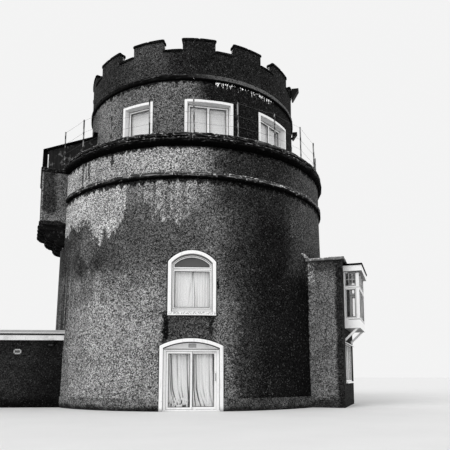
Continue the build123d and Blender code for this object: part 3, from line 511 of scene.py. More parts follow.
def stone_course(outline, start, end, length, wear, dark_line=0.008, spacing=0.06):
    # Stones swept round the axis from an outline of radii and levels, each a little different.
    end_round, end_wear = 0.03, 0.022
    points = resampled(outline, spacing)
    middle = Vector((sum(r for r, z in points) / len(points), sum(z for r, z in points) / len(points)))
    widest = max(r for r, z in outline)
    count = max(1, round(math.radians(end - start) * widest / length))
    gap = math.degrees(dark_line / 2 / widest)
    vertices, faces = [], []
    for stone in range(count):
        first = start + (end - start) * stone / count + gap
        last = start + (end - start) * (stone + 1) / count - gap
        slices = max(3, round(math.radians(last - first) * widest / spacing))
        base = len(vertices)
        shift = noise.noise(Vector((first * 0.37, widest, outline[0][1] * 3)))
        for cut in range(slices + 1):
            turn = math.radians(first + (last - first) * cut / slices)
            from_end = min(cut, slices - cut) / slices * (last - first) * math.radians(1) * widest
            shrink = end_wear * max(0, 1 - from_end / end_round)
            for r, z in points:
                spot = round_tower(turn, r, z)
                chip = noise.fractal(spot * 2.6, 1, 2, 4) * 0.5 + noise.noise(spot * 13) * 0.35
                inward = (middle - Vector((r, z))).normalized()
                pull = shrink + wear * max(0, 0.45 + chip + 0.5 * shift)
                vertices.append(round_tower(turn, r + inward.x * pull, z + inward.y * pull))
        n = len(points)
        for cut in range(slices):
            for i in range(n):
                a, b = base + cut * n + i, base + cut * n + (i + 1) % n
                faces.append((a, b, b + n, a + n))
        faces.append(tuple(base + i for i in reversed(range(n))))
        faces.append(tuple(base + slices * n + i for i in range(n)))
    return vertices, faces


def weathered_stone(name, dark, light, rim, foot=None, head=None, layers=0.05, bleach_and_light=None):
    # Black, layered stone. From foot to head, or from underside to top where no head is given, it goes from
    # black to the worn, lichened upper edge; the black is soot and painted shade. It can be bleached to a
    # grey from one azimuth, fully from the next, and above a level: weathering and painted light on the upper
    # face.
    stone = Finish(name)
    lift = stone.lift()
    cloud = stone.grain(2.6, 5)
    beds = stone.streaks(2.2, 2.2, 34)
    crust = stone.rise(stone.grain(8, 5), 0.46, 0.62)
    lichen = stone.rise(stone.grain(3.4, 4) + lift * 0.14, 0.54, 0.64)
    # Darker towards the foot, or on the underside: soot, and painted shade.
    height = stone.rise(stone.z + (beds - 0.5) * 0.12, foot, head) if head else 0.5 + 0.5 * lift
    colour = stone.mix(cloud * height, dark, light)
    colour = stone.mix(stone.rise(beds, 0.53, 0.6) * height * min(0.85, 40 * layers), colour, light + 62)
    colour = stone.mix(stone.rise(stone.grain(15, 4), 0.56, 0.62) * crust * height, colour, rim)
    colour = stone.mix(lichen * stone.rise(lift, -0.1, 0.6) * crust, colour, rim)
    # The paler face is partly weathering and partly painted light on the upper face.
    if bleach_and_light:
        first, full, bare, grey = bleach_and_light
        azimuth = stone.azimuth()
        worn_and_lit_face = stone.rise(azimuth, first, full) * stone.fall(azimuth, 100, 130)
        worn_and_lit_face = worn_and_lit_face * stone.rise(stone.z, bare, bare + 0.02)
        paler = stone.mix(stone.rise(stone.grain(26, 4), 0.3, 0.7), grey * 0.5, grey * 1.3)
        colour = stone.mix(worn_and_lit_face, colour, paler)
    grit = stone.bump(stone.grain(70, 4), 0.004)
    layered = stone.bump(beds, layers, 0.9, stone.bump(stone.grain(14, 5), 0.02, 0.8, grit))
    return stone.surface(colour, 0.86 + 0.1 * cloud, layered, IOR=1.12)


# The courses of the drum stop on both sides of the machicolation.
half_gap = 11.6
course_start, course_end = machicolation_bearing + half_gap, machicolation_bearing - half_gap + 360
lower, upper_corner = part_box("string_course")
string_seat, string_proud, string_round = 5.72, 0.1, 0.03
string_out = string_seat + string_proud
low, high = lower.z - 0.05, upper_corner.z + 0.01
string_outline = [(string_seat, low), (string_out - string_round, low), (string_out, low + string_round),
                  (string_out, high - 0.04), (string_seat + 0.05, high), (string_seat, high)]
string_stone = weathered_stone("string_stone", dark=8, light=82, rim=236, foot=low + 0.08, head=low + 0.17)
add_piece("string_stones", stone_course(string_outline, course_start, course_end, length=0.72, wear=0.018),
          string_stone, "string_course")

# The cornice has a band with rounded edges below, a quirk, and a second band above.
lower, upper_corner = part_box("cornice")
cornice_out, cornice_in, cornice_round, quirk = 5.89, 5.45, 0.03, 0.08
low, high = lower.z, upper_corner.z
cornice_outline = [(cornice_in, low), (cornice_out - quirk, low), (cornice_out - cornice_round, low + 0.04),
                   (cornice_out, low + 0.10), (cornice_out, low + 0.24),
                   (cornice_out - cornice_round, low + 0.28), (cornice_out - quirk, low + 0.29),
                   (cornice_out - quirk, low + 0.33), (cornice_out - cornice_round, low + 0.34),
                   (cornice_out - cornice_round, high - 0.06), (cornice_out - quirk, high),
                   (cornice_in, high)]
cornice_stone = weathered_stone("cornice_stone", dark=5, light=36, rim=160, foot=low + 0.12, head=low + 0.4)
add_piece("cornice_stones", stone_course(cornice_outline, course_start, course_end, length=0.78, wear=0.024),
          cornice_stone, "cornice")

lower, upper_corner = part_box("upper_string_course")
band_out, band_in, band_round = 4.66, 4.41, 0.03
low, high = lower.z, upper_corner.z
band_outline = [(band_in, low), (band_out - band_round, low), (band_out, low + band_round),
                (band_out, high - 0.09), (storey_radius, high), (band_in, high)]
# The band's upper face is paler on the right: weathering, and painted light where the sky catches it.
bleached_and_lit_right = (-6, 22, low + 0.07, 92)
band_stone = weathered_stone("parapet_band", dark=10, light=34, rim=96, foot=low + 0.03, head=high,
                             layers=0.01, bleach_and_light=bleached_and_lit_right)
add_piece("parapet_band_stones", stone_course(band_outline, 0, 360, length=0.9, wear=0.01, dark_line=0.005),
          band_stone, "upper_string_course")


# Copings of the merlons and crenels
# Thin cast slabs bedded on the parapet with a small overhang, black with weather on their edges.
merlon_count, merlon_span, merlon_first = 14, 16, 2.6
slab_out, slab_in, slab_round, overhang = 4.63, 4.27, 0.03, 0.04
crenel_top, merlon_top, slab_deep = 13.74, 14.19, 0.11
pitch = 360 / merlon_count
lap = math.degrees(overhang / storey_radius)
coping_stone = weathered_stone("coping_slabs", dark=8, light=26, rim=60, layers=0.008)
for number in range(merlon_count):
    centre, edge = merlon_first + pitch * number, merlon_span / 2
    for kind, top, start, end, length in (
            ("merlon", merlon_top, centre - edge - lap, centre + edge + lap, 0.7),
            ("crenel", crenel_top, centre + edge, centre + pitch - edge, 0.75)):
        outline = [(slab_in, top - slab_deep), (slab_out, top - slab_deep), (slab_out, top - slab_round),
                   (slab_out - slab_round, top), (slab_in + slab_round, top), (slab_in, top - slab_round)]
        slabs = stone_course(outline, start, end, length, wear=0.008, dark_line=0.004)
        add_piece(f"{kind}_coping_{number + 1:02d}", slabs, coping_stone,
                  "parapet_copings")


# Machicolation's stone: stepped corbels and coping
# Each corbel is three quarter-round courses, black and pitted. The coping is one row of worn slabs.
def worn_copy(name, node, material, voxel, wear, settle=None):
    # The node's own form, with its edges rounded and its faces pitted by weather.
    rough = bpy.data.objects.new("rough", nodes[node].data.copy())
    scene.collection.objects.link(rough)
    grid = rough.modifiers.new("voxels", "REMESH")
    grid.mode = "VOXEL"
    grid.voxel_size = voxel
    shape = bpy.data.meshes.new_from_object(rough.evaluated_get(bpy.context.evaluated_depsgraph_get()))
    bpy.data.objects.remove(rough)
    cage = bmesh.new()
    cage.from_mesh(shape)
    bmesh.ops.smooth_vert(cage, verts=cage.verts, factor=0.5, use_axis_x=True, use_axis_y=True,
                          use_axis_z=True)
    cage.normal_update()
    for vertex in cage.verts:
        if settle:
            vertex.co = settle(vertex.co)
        pits = noise.fractal(vertex.co * 3.1, 1, 2, 4) * 0.6 + noise.noise(vertex.co * 14) * 0.4
        vertex.co -= vertex.normal * wear * max(0, 0.4 + pits)
    cage.to_mesh(shape)
    cage.free()
    shape.materials.clear()
    return add_piece(name, shape, material, node, smooth=True)


lower, upper_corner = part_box("machicolation_corbels")
corbel_top, corbel_squash, corbel_reach = upper_corner.z, 0.73, 6.72
nose_long, nose_high, nose_cut = 0.25, 0.16, 0.12
drum_foot_radius, batter, wall_cover, tuck = 5.88, 0.0163, 0.06, 0.05
machicolation_turn = math.radians(machicolation_bearing)
corbel_way = round_tower(machicolation_turn, 1)


def nosed(spot):
    # The courses are shallower than quarter rounds, the head is rounded off, and the tails run into the wall.
    spot = Vector((spot.x, spot.y, corbel_top - (corbel_top - spot.z) * corbel_squash))
    front = min(1, max(0, (spot.dot(corbel_way) - corbel_reach + nose_long) / nose_long))
    head = min(1, max(0, (spot.z - corbel_top + nose_high) / nose_high))
    spot -= corbel_way * nose_cut * front * head ** 2
    if spot.xy.length < drum_foot_radius - batter * spot.z + wall_cover:
        spot.xy = spot.xy * (1 - tuck / spot.xy.length)
    return spot


soot_stone = weathered_stone("corbel_stone", dark=4, light=44, rim=84, layers=0.002)
old_stone = weathered_stone("machicolation_coping", dark=8, light=36, rim=150, layers=0.01)
worn_copy("worn_corbels", "machicolation_corbels", soot_stone, voxel=0.03, wear=0.02, settle=nosed)
worn_copy("worn_machicolation_coping", "machicolation_coping", old_stone, voxel=0.028, wear=0.02)


# Railing round the gallery
# Galvanised tube posts on small bolted plates, a little out of plumb, with three slack wires through
# their eyes. Rust has broken the zinc into pale and dark lengths.
def islands(name):
    # The separate solids of a node, each as its own list of corner points.
    cage = bmesh.new()
    cage.from_mesh(nodes[name].data)
    bmesh.ops.remove_doubles(cage, verts=cage.verts, dist=0.0004)
    left = set(cage.verts)
    found = []
    while left:
        group, edge_of_group = [], [left.pop()]
        while edge_of_group:
            vertex = edge_of_group.pop()
            group.append(vertex.co.copy())
            for link in vertex.link_edges:
                other = link.other_vert(vertex)
                if other in left:
                    left.remove(other)
                    edge_of_group.append(other)
        found.append(group)
    cage.free()
    return found


def middle_of(points):
    return sum(points, Vector()) / len(points)


def sideways(look):
    # The level direction to the left of someone who looks along the given one.
    return Vector((-look.y, look.x, 0))


def up(height):
    return Vector((0, 0, height))


def add_tube(vertices, faces, points, radii, sides=10):
    # A closed tube along points, with a radius at each of them.
    base = len(vertices)
    for i, (point, radius) in enumerate(zip(points, radii)):
        ahead = points[min(i + 1, len(points) - 1)] - points[max(i - 1, 0)]
        first = ahead.orthogonal().normalized()
        second = ahead.normalized().cross(first)
        for k in range(sides):
            turn = math.tau * k / sides
            vertices.append(point + radius * (math.cos(turn) * first + math.sin(turn) * second))
    for i in range(len(points) - 1):
        for k in range(sides):
            a, b = base + i * sides + k, base + i * sides + (k + 1) % sides
            faces.append((a, b, b + sides, a + sides))
    faces.append(tuple(base + k for k in reversed(range(sides))))
    faces.append(tuple(base + (len(points) - 1) * sides + k for k in range(sides)))


def plain(name, greys, clouds, roughness, pits, depth, **others):
    # A finish that varies between two greys, with fine pits. Clouds and pits each have a number to the
    # metre and a detail.
    finish = Finish(name)
    tone = finish.mix(finish.grain(*clouds), *greys)
    return finish.surface(tone, roughness, finish.bump(finish.grain(*pits), depth), **others)


zinc = Finish("rusted_zinc")
peeled = zinc.rise(zinc.streaks(14, 14, 5.5, 3), 0.49, 0.54)
tone = zinc.mix(peeled, 22, 140)
tone = zinc.mix(zinc.rise(zinc.grain(46, 4), 0.5, 0.7) * 0.5, tone, 84)
pitted = zinc.bump(zinc.grain(160, 3), 0.0015)
rusted_zinc = zinc.surface(tone, 0.78 - 0.3 * peeled, pitted, Metallic=0.25)

wire_levels, wire_radius = (11.09, 10.60, 10.18), 0.0035
post_radius, plate_half, plate_deep, sway = 0.027, 0.06, 0.012, 0.03
eye_radius, eye_half, cap_from = post_radius + 0.005, 0.012, 0.985
bolt_radii, bolt_high, bolt_out = [0.009, 0.008], 0.03, plate_half * 0.72
posts = []
for group in islands("railing_posts"):
    foot = middle_of(group)
    bottom, top = min(v.z for v in group), max(v.z for v in group)
    order = (math.atan2(foot.x, -foot.y) - machicolation_turn) % math.tau
    posts.append((order, Vector((foot.x, foot.y, bottom)), top))
posts.sort(key=lambda post: post[0])
chance = random.Random(7)
post_parts, axes = ([], []), []
for order, foot, top in posts:
    height = top - foot.z
    outward = Vector((foot.x, foot.y, 0)).normalized()
    along = sideways(outward)
    lean = along * chance.uniform(-sway, sway) - outward * chance.uniform(0, sway)
    line = [foot + up(height * share) + lean * share for share in (0, 0.25, 0.5, 0.75, cap_from, 1)]
    add_tube(*post_parts, line, [post_radius] * 5 + [post_radius * 0.6], 12)
    add_tube(*post_parts, [foot, foot + up(plate_deep), foot + up(plate_deep + 0.02)],
             [plate_half, plate_half, post_radius + 0.004], 14)
    for out in (bolt_out, -bolt_out):
        bolt = foot + along * out
        add_tube(*post_parts, [bolt, bolt + up(bolt_high)], bolt_radii, 6)
    eyes = [foot + (lean + up(height)) * ((level - foot.z) / height) for level in wire_levels]
    for eye_centre in eyes:
        add_tube(*post_parts, [eye_centre - up(eye_half), eye_centre + up(eye_half)], [eye_radius] * 2, 12)
    axes.append(eyes)
add_piece("gallery_posts", post_parts, rusted_zinc, "railing_posts")

wire_parts = ([], [])
for first, second in zip(axes, axes[1:]):
    for start, end in zip(first, second):
        slack = chance.uniform(0.006, 0.022)
        spots = [start.lerp(end, i / 8) - up(slack * 4 * (i / 8) * (1 - i / 8)) for i in range(9)]
        add_tube(*wire_parts, spots, [wire_radius] * 9, 6)
drawn_steel = plain("drawn_steel", greys=(60, 110), clouds=(3, 4), roughness=0.5, pits=(200, 2), depth=0.0004,
                    Metallic=0.4)
add_piece("gallery_wires", wire_parts, drawn_steel, "railing_wires")


# Lean-to over the machicolation
# Tarred boards nailed upright on a frame, under a felted roof with a turned-up flashing at the wall. A
# pale batten is left beside the outer post.
boards = Finish("tarred_boards")
out, right = out_and_right(boards, machicolation_bearing)
plank = boards.maths("PINGPONG", out + right, 0.07)
split = boards.fall(plank, 0.0, 0.006)
fibre = boards.streaks(26, 26, 2.2)
tone = boards.mix(fibre, 14, 58)
tone = boards.mix(boards.rise(boards.grain(4.5, 5), 0.55, 0.66), tone, 104)
tone = boards.mix(boards.rise(out, 6.42, 6.44), tone, 5)
tone = boards.mix(split, tone, 8)
ribbed = boards.bump(fibre, 0.003, 1, boards.bump(split, -0.006))
dress(boards.surface(tone, 0.7 + 0.2 * fibre, ribbed, IOR=1.15), "lean_to_walls")


def take_from(cage, vertices, faces):
    # What has been shaped in the cage goes into a piece's points and faces.
    base = len(vertices)
    cage.verts.index_update()
    vertices += [vertex.co.copy() for vertex in cage.verts]
    faces += [tuple(base + vertex.index for vertex in face.verts) for face in cage.faces]
    cage.free()


def add_block(vertices, faces, low, high, turn=0, soft=0.004):
    # A bar from its two corners, with its edges taken off, then turned about the tower's axis.
    cage = bmesh.new()
    bmesh.ops.create_cube(cage, size=1)
    size = Vector(high) - Vector(low)
    middle = (Vector(high) + Vector(low)) / 2
    for vertex in cage.verts:
        vertex.co = Vector((vertex.co.x * size.x, vertex.co.y * size.y, vertex.co.z * size.z)) + middle
    bmesh.ops.bevel(cage, geom=cage.edges, offset=min(soft, min(size) * 0.3), segments=2, affect="EDGES")
    bmesh.ops.rotate(cage, verts=cage.verts, matrix=Matrix.Rotation(math.radians(turn), 3, "Z"))
    take_from(cage, vertices, faces)


painted = Finish("white_paint")
grime = painted.grain(3, 5)
tone = painted.mix(painted.rise(grime, 0.5, 0.78), 243, 214)
tone = painted.mix(painted.rise(painted.grain(22, 5), 0.6, 0.74) * 0.6, tone, 176)
white_paint = painted.surface(tone, 0.5 + 0.2 * grime, painted.bump(painted.streaks(70, 70, 12), 0.0012))
batten_out, batten_right, batten_low, batten_parts = 6.38, 0.925, 9.52, ([], [])
for wide, near, far, high in ((0.022, 0.05, 0.012, 10.1), (0.03, 0.045, 0.02, 9.6)):
    add_block(*batten_parts, (batten_right, -batten_out - near, batten_low),
              (batten_right + wide, -batten_out - far, high), machicolation_bearing)
add_piece("lean_to_batten", batten_parts, white_paint)


# Plaster bands round the doors and windows
# Smooth cement bands and reveals, painted white. Rain has left grey runs on the sills and lower ends.
band_paint = Finish("painted_plaster")
grime = band_paint.grain(2.6, 5)
foot_dirt = band_paint.fall(band_paint.z + (grime - 0.5) * 0.4, 0.03, 0.2)
tone = band_paint.mix(band_paint.rise(band_paint.streaks(16, 16, 1.4), 0.56, 0.72), 252, 228)
tone = band_paint.mix(band_paint.rise(band_paint.grain(30, 5), 0.6, 0.72) * 0.6, tone, 190)
sill_dirt = band_paint.rise(band_paint.grain(24, 4), 0.42, 0.6)
tone = band_paint.stained(tone, band_paint.z, band_paint.x, ((3.29, 0), (0.05, 0.9), 0.4, sill_dirt, 160))
tone = band_paint.mix(foot_dirt * 0.7, tone, 120)
# Undersides of the bands are darkened: painted shade, half as strong on the top storey.
shaded_underside = band_paint.rise(0 - band_paint.lift(), 0.3, 0.8)
tone = band_paint.mix(shaded_underside * (1 - 0.5 * band_paint.rise(band_paint.z, 8, 8.1)) * 0.85, tone, 84)
sanded = band_paint.bump(band_paint.grain(90, 3), 0.001)
trowelled = band_paint.bump(band_paint.grain(12, 5), 0.004, 0.7, sanded)
dress(band_paint.surface(tone, 0.62 + 0.2 * grime, trowelled), "door_surround", "window_surround",
      "upper_surrounds")


# Window and door frames
# White plastic sections, welded at the corners. Each pane sits in a black rubber seal behind a bead, and
# the lights that open, on the top storey and low in the oriel, have a sash of their own.
plastic = Finish("white_plastic")
grime = plastic.grain(5, 5)
tone = plastic.mix(plastic.rise(grime, 0.5, 0.75), 252, 236)
tone = plastic.mix(plastic.rise(plastic.streaks(34, 34, 5), 0.62, 0.75) * 0.4, tone, 196)
# Undersides are darkened: painted shade.
tone = plastic.mix(plastic.rise(0 - plastic.lift(), 0.3, 0.8) * 0.9, tone, 36)

# Dark lines on the oriel: painted shadow of the fascia across the frame's head, and dirt in the joints at its
# foot and transom.
oriel_side = plastic.rise(plastic.x, 6.0, 6.1)
for low, high, grey in ((5.15, 5.21, 40), (3.325, 3.36, 64), (4.573, 4.6, 110)):
    dark_line = plastic.rise(plastic.z, low, low + 0.004) * plastic.fall(plastic.z, high - 0.004, high)
    tone = plastic.mix(dark_line * oriel_side * 0.85, tone, grey)
white_plastic = plastic.surface(tone, 0.3 + 0.25 * grime, plastic.bump(plastic.grain(60, 2), 0.0004))
dress(white_plastic, "door_frame", "door_fixed_leaf", "sliding_leaf", "window_frame", "upper_window_frames",
      "bay_window_frame", "bay_window_hood", "oriel_base", "oriel_frame", "oriel_fascia", "oriel_brackets",
      "curtain_rails", "door_head_panel")

black_rubber = plain("black_rubber", greys=(8, 30), clouds=(40, 4), roughness=0.7, pits=(120, 2),
                     depth=0.0005)


def outward_panes(name):
    # The outer face of each pane of glass, as its corners and the way it looks.
    smallest, slimmest = 0.03, 0.05
    cage = bmesh.new()
    cage.from_mesh(nodes[name].data)
    bmesh.ops.remove_doubles(cage, verts=cage.verts, dist=0.0004)
    bmesh.ops.dissolve_limit(cage, angle_limit=math.radians(2), verts=cage.verts, edges=cage.edges)
    cage.normal_update()
    panes = []
    for face in cage.faces:
        centre, area = face.calc_center_median(), face.calc_area()
        span = max((a.co - b.co).length for a in face.verts for b in face.verts)
        outward = face.normal.dot(Vector((centre.x, centre.y, 0))) > 0
        if outward and abs(face.normal.z) < 0.01 and area > max(smallest, slimmest * span * span):
            panes.append(([vertex.co.copy() for vertex in face.verts], face.normal.copy()))
    cage.free()
    return panes


def draw_out(cage, way):
    # All the faces in the cage, drawn out into a solid.
    grown = bmesh.ops.extrude_face_region(cage, geom=list(cage.faces))["geom"]
    bmesh.ops.translate(cage, vec=way, verts=[g for g in grown if isinstance(g, bmesh.types.BMVert)])


def add_rims(vertices, faces, panes, width, proud, inset=0, lift=0):
    # A flat ring round each pane, set in from its edge and standing proud of the glass.
    for corners, look in panes:
        cage = bmesh.new()
        face = cage.faces.new([cage.verts.new(corner + look * lift) for corner in corners])
        face.normal_update()
        if inset > 0:
            bmesh.ops.inset_individual(cage, faces=[face], thickness=inset, use_even_offset=True)
            bmesh.ops.delete(cage, geom=[f for f in cage.faces if f is not face], context="FACES")
        ring = bmesh.ops.inset_individual(cage, faces=[face], thickness=width, use_even_offset=True)["faces"]
        bmesh.ops.delete(cage, geom=[f for f in cage.faces if f not in ring], context="FACES_ONLY")
        draw_out(cage, look * proud)
        take_from(cage, vertices, faces)


def centre_of(pane):
    return middle_of(pane[0])


panes = outward_panes("glazing")
storey_foot, oriel_foot, bay_out, oriel_out, oriel_transom = 9.7, 3, 6.5, 6.95, 4.6
storey = [pane for pane in panes if centre_of(pane).z > storey_foot]
oriel = [pane for pane in panes if centre_of(pane).z > oriel_foot and centre_of(pane).xy.length > oriel_out]
oriel_lower = [pane for pane in oriel if centre_of(pane).z < oriel_transom]
oriel_upper = [pane for pane in oriel if centre_of(pane).z > oriel_transom]
opening = storey + oriel_lower
others = [pane for pane in panes if pane not in opening]
sash_parts, sash_width, sash_proud = ([], []), 0.01, 0.018
add_rims(*sash_parts, opening, sash_width, sash_proud)
add_piece("opening_sashes", sash_parts, white_plastic)
seal_parts, seal_width, fixed_seal_width, seal_proud = ([], []), 0.026, 0.02, 0.008
add_rims(*seal_parts, opening, seal_width, seal_proud, inset=sash_width)
add_rims(*seal_parts, others, fixed_seal_width, seal_proud)
add_piece("pane_seals", seal_parts, black_rubber)


# Joints round the frames
# The open joints between sashes and frames, and the mastic between frames and walls, read as black lines.
# Round the arches, the door's head panel, the top storey's frames and the door's jambs they are also painted
# shadow of the plaster bands.
def widened(pane, margin):
    # The outline of a pane moved outward by a margin, to where its sash ends.
    corners, look = pane
    moved = []
    for before, corner, after in zip(corners[-1:] + corners[:-1], corners, corners[1:] + corners[:1]):
        first = (corner - before).normalized().cross(look)
        second = (after - corner).normalized().cross(look)
        moved.append(corner + margin * (first + second) / (1 + first.dot(second)))
    return moved, look


def rectangle(left, right, low, high, spot):
    return [spot(s, z) for s, z in ((left, low), (right, low), (right, high), (left, high))]


def whole_windows(panes):
    # One rectangle over all the panes that look the same way, for each way that they look.
    found = {}
    for corners, look in panes:
        found.setdefault((round(look.x, 2), round(look.y, 2)), (look, []))[1].extend(corners)
    windows = []
    for look, corners in found.values():
        across, out = sideways(look), corners[0].dot(look)
        spots, levels = [corner.dot(across) for corner in corners], [corner.z for corner in corners]
        sheet = rectangle(min(spots), max(spots), min(levels), max(levels),
                          lambda s, z: look * out + across * s + up(z))
        windows.append((sheet, look))
    return windows


toward_front = Vector((0, -1, 0))
front_window = [pane for pane in others if abs(centre_of(pane).x) < 0.3 and centre_of(pane).y < -5
                and oriel_foot < centre_of(pane).z < 5.6]
head_face = [pane for pane in outward_panes("door_head_panel") if pane[1].y < -0.9]
lower, upper_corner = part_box("door_fixed_leaf")
leaf_face = rectangle(lower.x, upper_corner.x, lower.z, upper_corner.z, lambda x, z: Vector((x, lower.y, z)))

# The arched outline of the first-floor window's frame, from its lower left corner.
half, sill, crown, arc, window_front = 0.707, 3.331, 5.352, 0.95, -5.6005
turns = [math.asin(half / arc) * (1 - i / 8) for i in range(17)]
arch = [(arc * math.sin(turn), crown - arc + arc * math.cos(turn)) for turn in turns]
window_line = [Vector((x, window_front, z)) for x, z in [(-half, sill), (half, sill)] + arch]

joint_and_shadow_parts, joint_proud, thin_joint, wide_joint = ([], []), 0.001, 0.012, 0.02
window_face, storey_face, board_face = 0.0272, 0.0222, 0.0004
for outlines, margin, width, lift in (
        (front_window, 0.05, thin_joint, window_face),
        (whole_windows(storey), 0.069, wide_joint, storey_face),
        (oriel, 0.022, thin_joint, storey_face),
        ([(window_line, toward_front)], 0, wide_joint, 0),
        (head_face, 0, 0.026, board_face),
        ([(leaf_face, toward_front)], 0, 0.009, board_face)):
    add_rims(*joint_and_shadow_parts, [widened(outline, margin) for outline in outlines], width, joint_proud, lift=lift)
# Black strips beside the door frame's jambs: mastic, and painted shadow of the surround.
door_front, side_joint, side_low, side_high = -5.6255, 0.014, 0.03, 2.055
for x in (-0.959, 0.945):
    add_block(*joint_and_shadow_parts, (x, door_front - joint_proud, side_low), (x + side_joint, door_front, side_high),
              soft=0.0003)
add_piece("frame_joint_and_shadow_lines", joint_and_shadow_parts, black_rubber)
leaf_seal_parts, leaf_seal_width = ([], []), 0.018
add_rims(*leaf_seal_parts, outward_panes("sliding_leaf_glass"), leaf_seal_width, seal_proud)
add_piece("sliding_leaf_seal", leaf_seal_parts, black_rubber, body="sliding_door")


# Glass
# Clear sheets with a film of salt and dust. The arched light over the first-floor window is obscured.
glass = Finish("clear_glass")
smear = glass.streaks(3, 3, 1.2)
arched_light = glass.patch(glass.x, glass.z, (0, 5.1), (0.75, 0.22), 0.02) * glass.rise(0 - glass.y, 5.0, 5.1)
tone = glass.mix(arched_light, glass.mix(smear, 150, 190), 96)
film = (0.03 + 0.05 * smear) * (1 - arched_light) + arched_light * 0.8
clear_glass = glass.surface(tone, 0.04 + 0.1 * smear, Alpha=film, IOR=1.5)
dress(clear_glass, "glazing", "sliding_leaf_glass")


# Blinds of the top storey and of the bay's lower window
# White roller blinds drawn down inside each window, each with a round tube at the top and a hem bar.
def add_sheet(name, rows, material, replaced=None):
    # A cloth from rows of points.
    count = len(rows[0])
    faces = [(r * count + c, r * count + c + 1, (r + 1) * count + c + 1, (r + 1) * count + c)
             for r in range(len(rows) - 1) for c in range(count - 1)]
    mesh = new_mesh(name, [point for row in rows for point in row], faces)
    drop = sum((below[count // 2] - above[count // 2]).length for above, below in zip(rows, rows[1:]))
    sheet = add_piece(name, mesh, material, replaced, smooth=True)


def spread_of(corners, look):
    # The middle of a pane or window, the level direction across it, and its half width that way.
    middle, across = middle_of(corners), sideways(look)
    return middle, across, max(abs((corner - middle).dot(across)) for corner in corners)


cloth = Finish("blind_cloth")
weave = cloth.rise(cloth.maths("PINGPONG", cloth.z, 0.045), 0.037, 0.044)
tone = cloth.mix(cloth.grain(2.2, 4), 248, 238)
tone = cloth.mix(weave * 0.3, tone, 170)
blind_cloth = cloth.surface(tone, 0.85, cloth.bump(cloth.grain(1.5, 3), 0.004), Sheen_Weight=0.1)
storey_setback, bay_setback, tube_radius, hem_radius = 0.075, 0.045, 0.02, 0.009
upper_light_foot, bay_head, downs, acrosses = 10.7, 2.6, 18, 24
bay_lights = [pane for pane in others if centre_of(pane).xy.length > bay_out and centre_of(pane).z < bay_head]
shaded = [pane for pane in storey if centre_of(pane).z > upper_light_foot] + bay_lights
for number, (corners, look) in enumerate(whole_windows(shaded), 1):
    middle, along, half = spread_of(corners, look)
    half += 0.02
    top, bottom = max(corner.z for corner in corners) + 0.03, min(corner.z for corner in corners) - 0.01
    centre = Vector((middle.x, middle.y, 0)) - look * (storey_setback if middle.z > bay_head else bay_setback)
    rows = []
    for r in range(downs + 1):
        z, row = top - (top - bottom) * r / downs, []
        for c in range(acrosses + 1):
            s = -half + 2 * half * c / acrosses
            ripple = 0.004 * math.sin(s * 9 + number) * (r / downs) + 0.003 * math.sin(z * 21 + s * 2)
            row.append(centre + along * s + look * ripple + up(z))
        rows.append(row)
    tube_name, tube_parts = f"blind_tube_{number}", ([], [])
    add_sheet(f"roller_blind_{number}", rows, blind_cloth)
    for z, radius in ((top + 0.005, tube_radius), (bottom, hem_radius)):
        ends = [centre + along * (share * (half + 0.004)) + up(z) for share in (-1, -0.96, 0.96, 1)]
        add_tube(*tube_parts, ends, [radius * 0.8, radius, radius, radius * 0.8], 10)
    add_piece(tube_name, tube_parts, white_plastic)


# Curtains of the patio door
# Two unlined white curtains on a track. Their folds start upright under the heading and are dragged to
# the right at the floor, where the left one is rucked up behind the door.
def hanging_cloth(name, node, depth):
    # Plain woven cloth whose hollows, which lie further from the glass, are painted dark: painted shade.
    middle = middle_of(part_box(node)).y
    drape = Finish(name)
    weft = drape.grain(240, 3)
    tone = drape.mix(drape.grain(3, 4), 255, 246)
    tone = drape.mix(weft * 0.15, tone, 210)
    tone = drape.mix(drape.rise(drape.y, middle - depth * 0.25, middle + depth), tone, 34)
    return drape.surface(tone, 0.88, drape.bump(weft, 0.0008), Sheen_Weight=0.15)


def hang(name, node, material, left, right, depth, grid, deepest, folds, *shape):
    # One cloth of a pair, gathered on its rail in the box of a node, with the steps of its grid down and
    # across. Its folds are a share of its depth, for a place along the rail and a share of the fall.
    low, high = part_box(node)
    foot, middle = low.z + 0.006, (low.y + high.y) / 2
    downs, acrosses = grid
    rows = []
    for r in range(downs + 1):
        fall, row = r / downs, []
        for c in range(acrosses + 1):
            s = left + (right - left) * c / acrosses
            deep = max(-1, min(deepest, folds(s, fall, *shape)))
            row.append(Vector((s, middle + depth * deep, high.z + (foot - high.z) * fall)))
        rows.append(row)
    add_sheet(name, rows, material, node)


def creased(s, fall, creases):
    # Depth of the cloth from its creases, each with its place at the top, two thirds down and at the foot.
    depth, bend = 0, 0.62
    for top, low, foot, deep, width in creases:
        drag = max(0, (fall - bend) / (1 - bend)) ** 1.4
        path = top + (low - top) * min(1, fall / bend) + (foot - low) * drag
        depth += deep * math.exp(-((s - path) / width) ** 2)
    return depth


def curtain_folds(s, fall, creases):
    wave = 0.3 * math.sin((s - 0.2 * fall ** 2.4) * 24) + 0.12 * math.sin(s * 61)
    heading = 0.3 * math.sin(s * 84) * max(0, 1 - fall * 8)
    crumple = noise.noise(Vector((s * 17, fall * 16, 3))) * max(0, fall - 0.76) * (17 if s < 0 else 2)
    return creased(s, fall, creases) * (0.75 + 0.25 * fall) - 0.45 + wave + heading + crumple


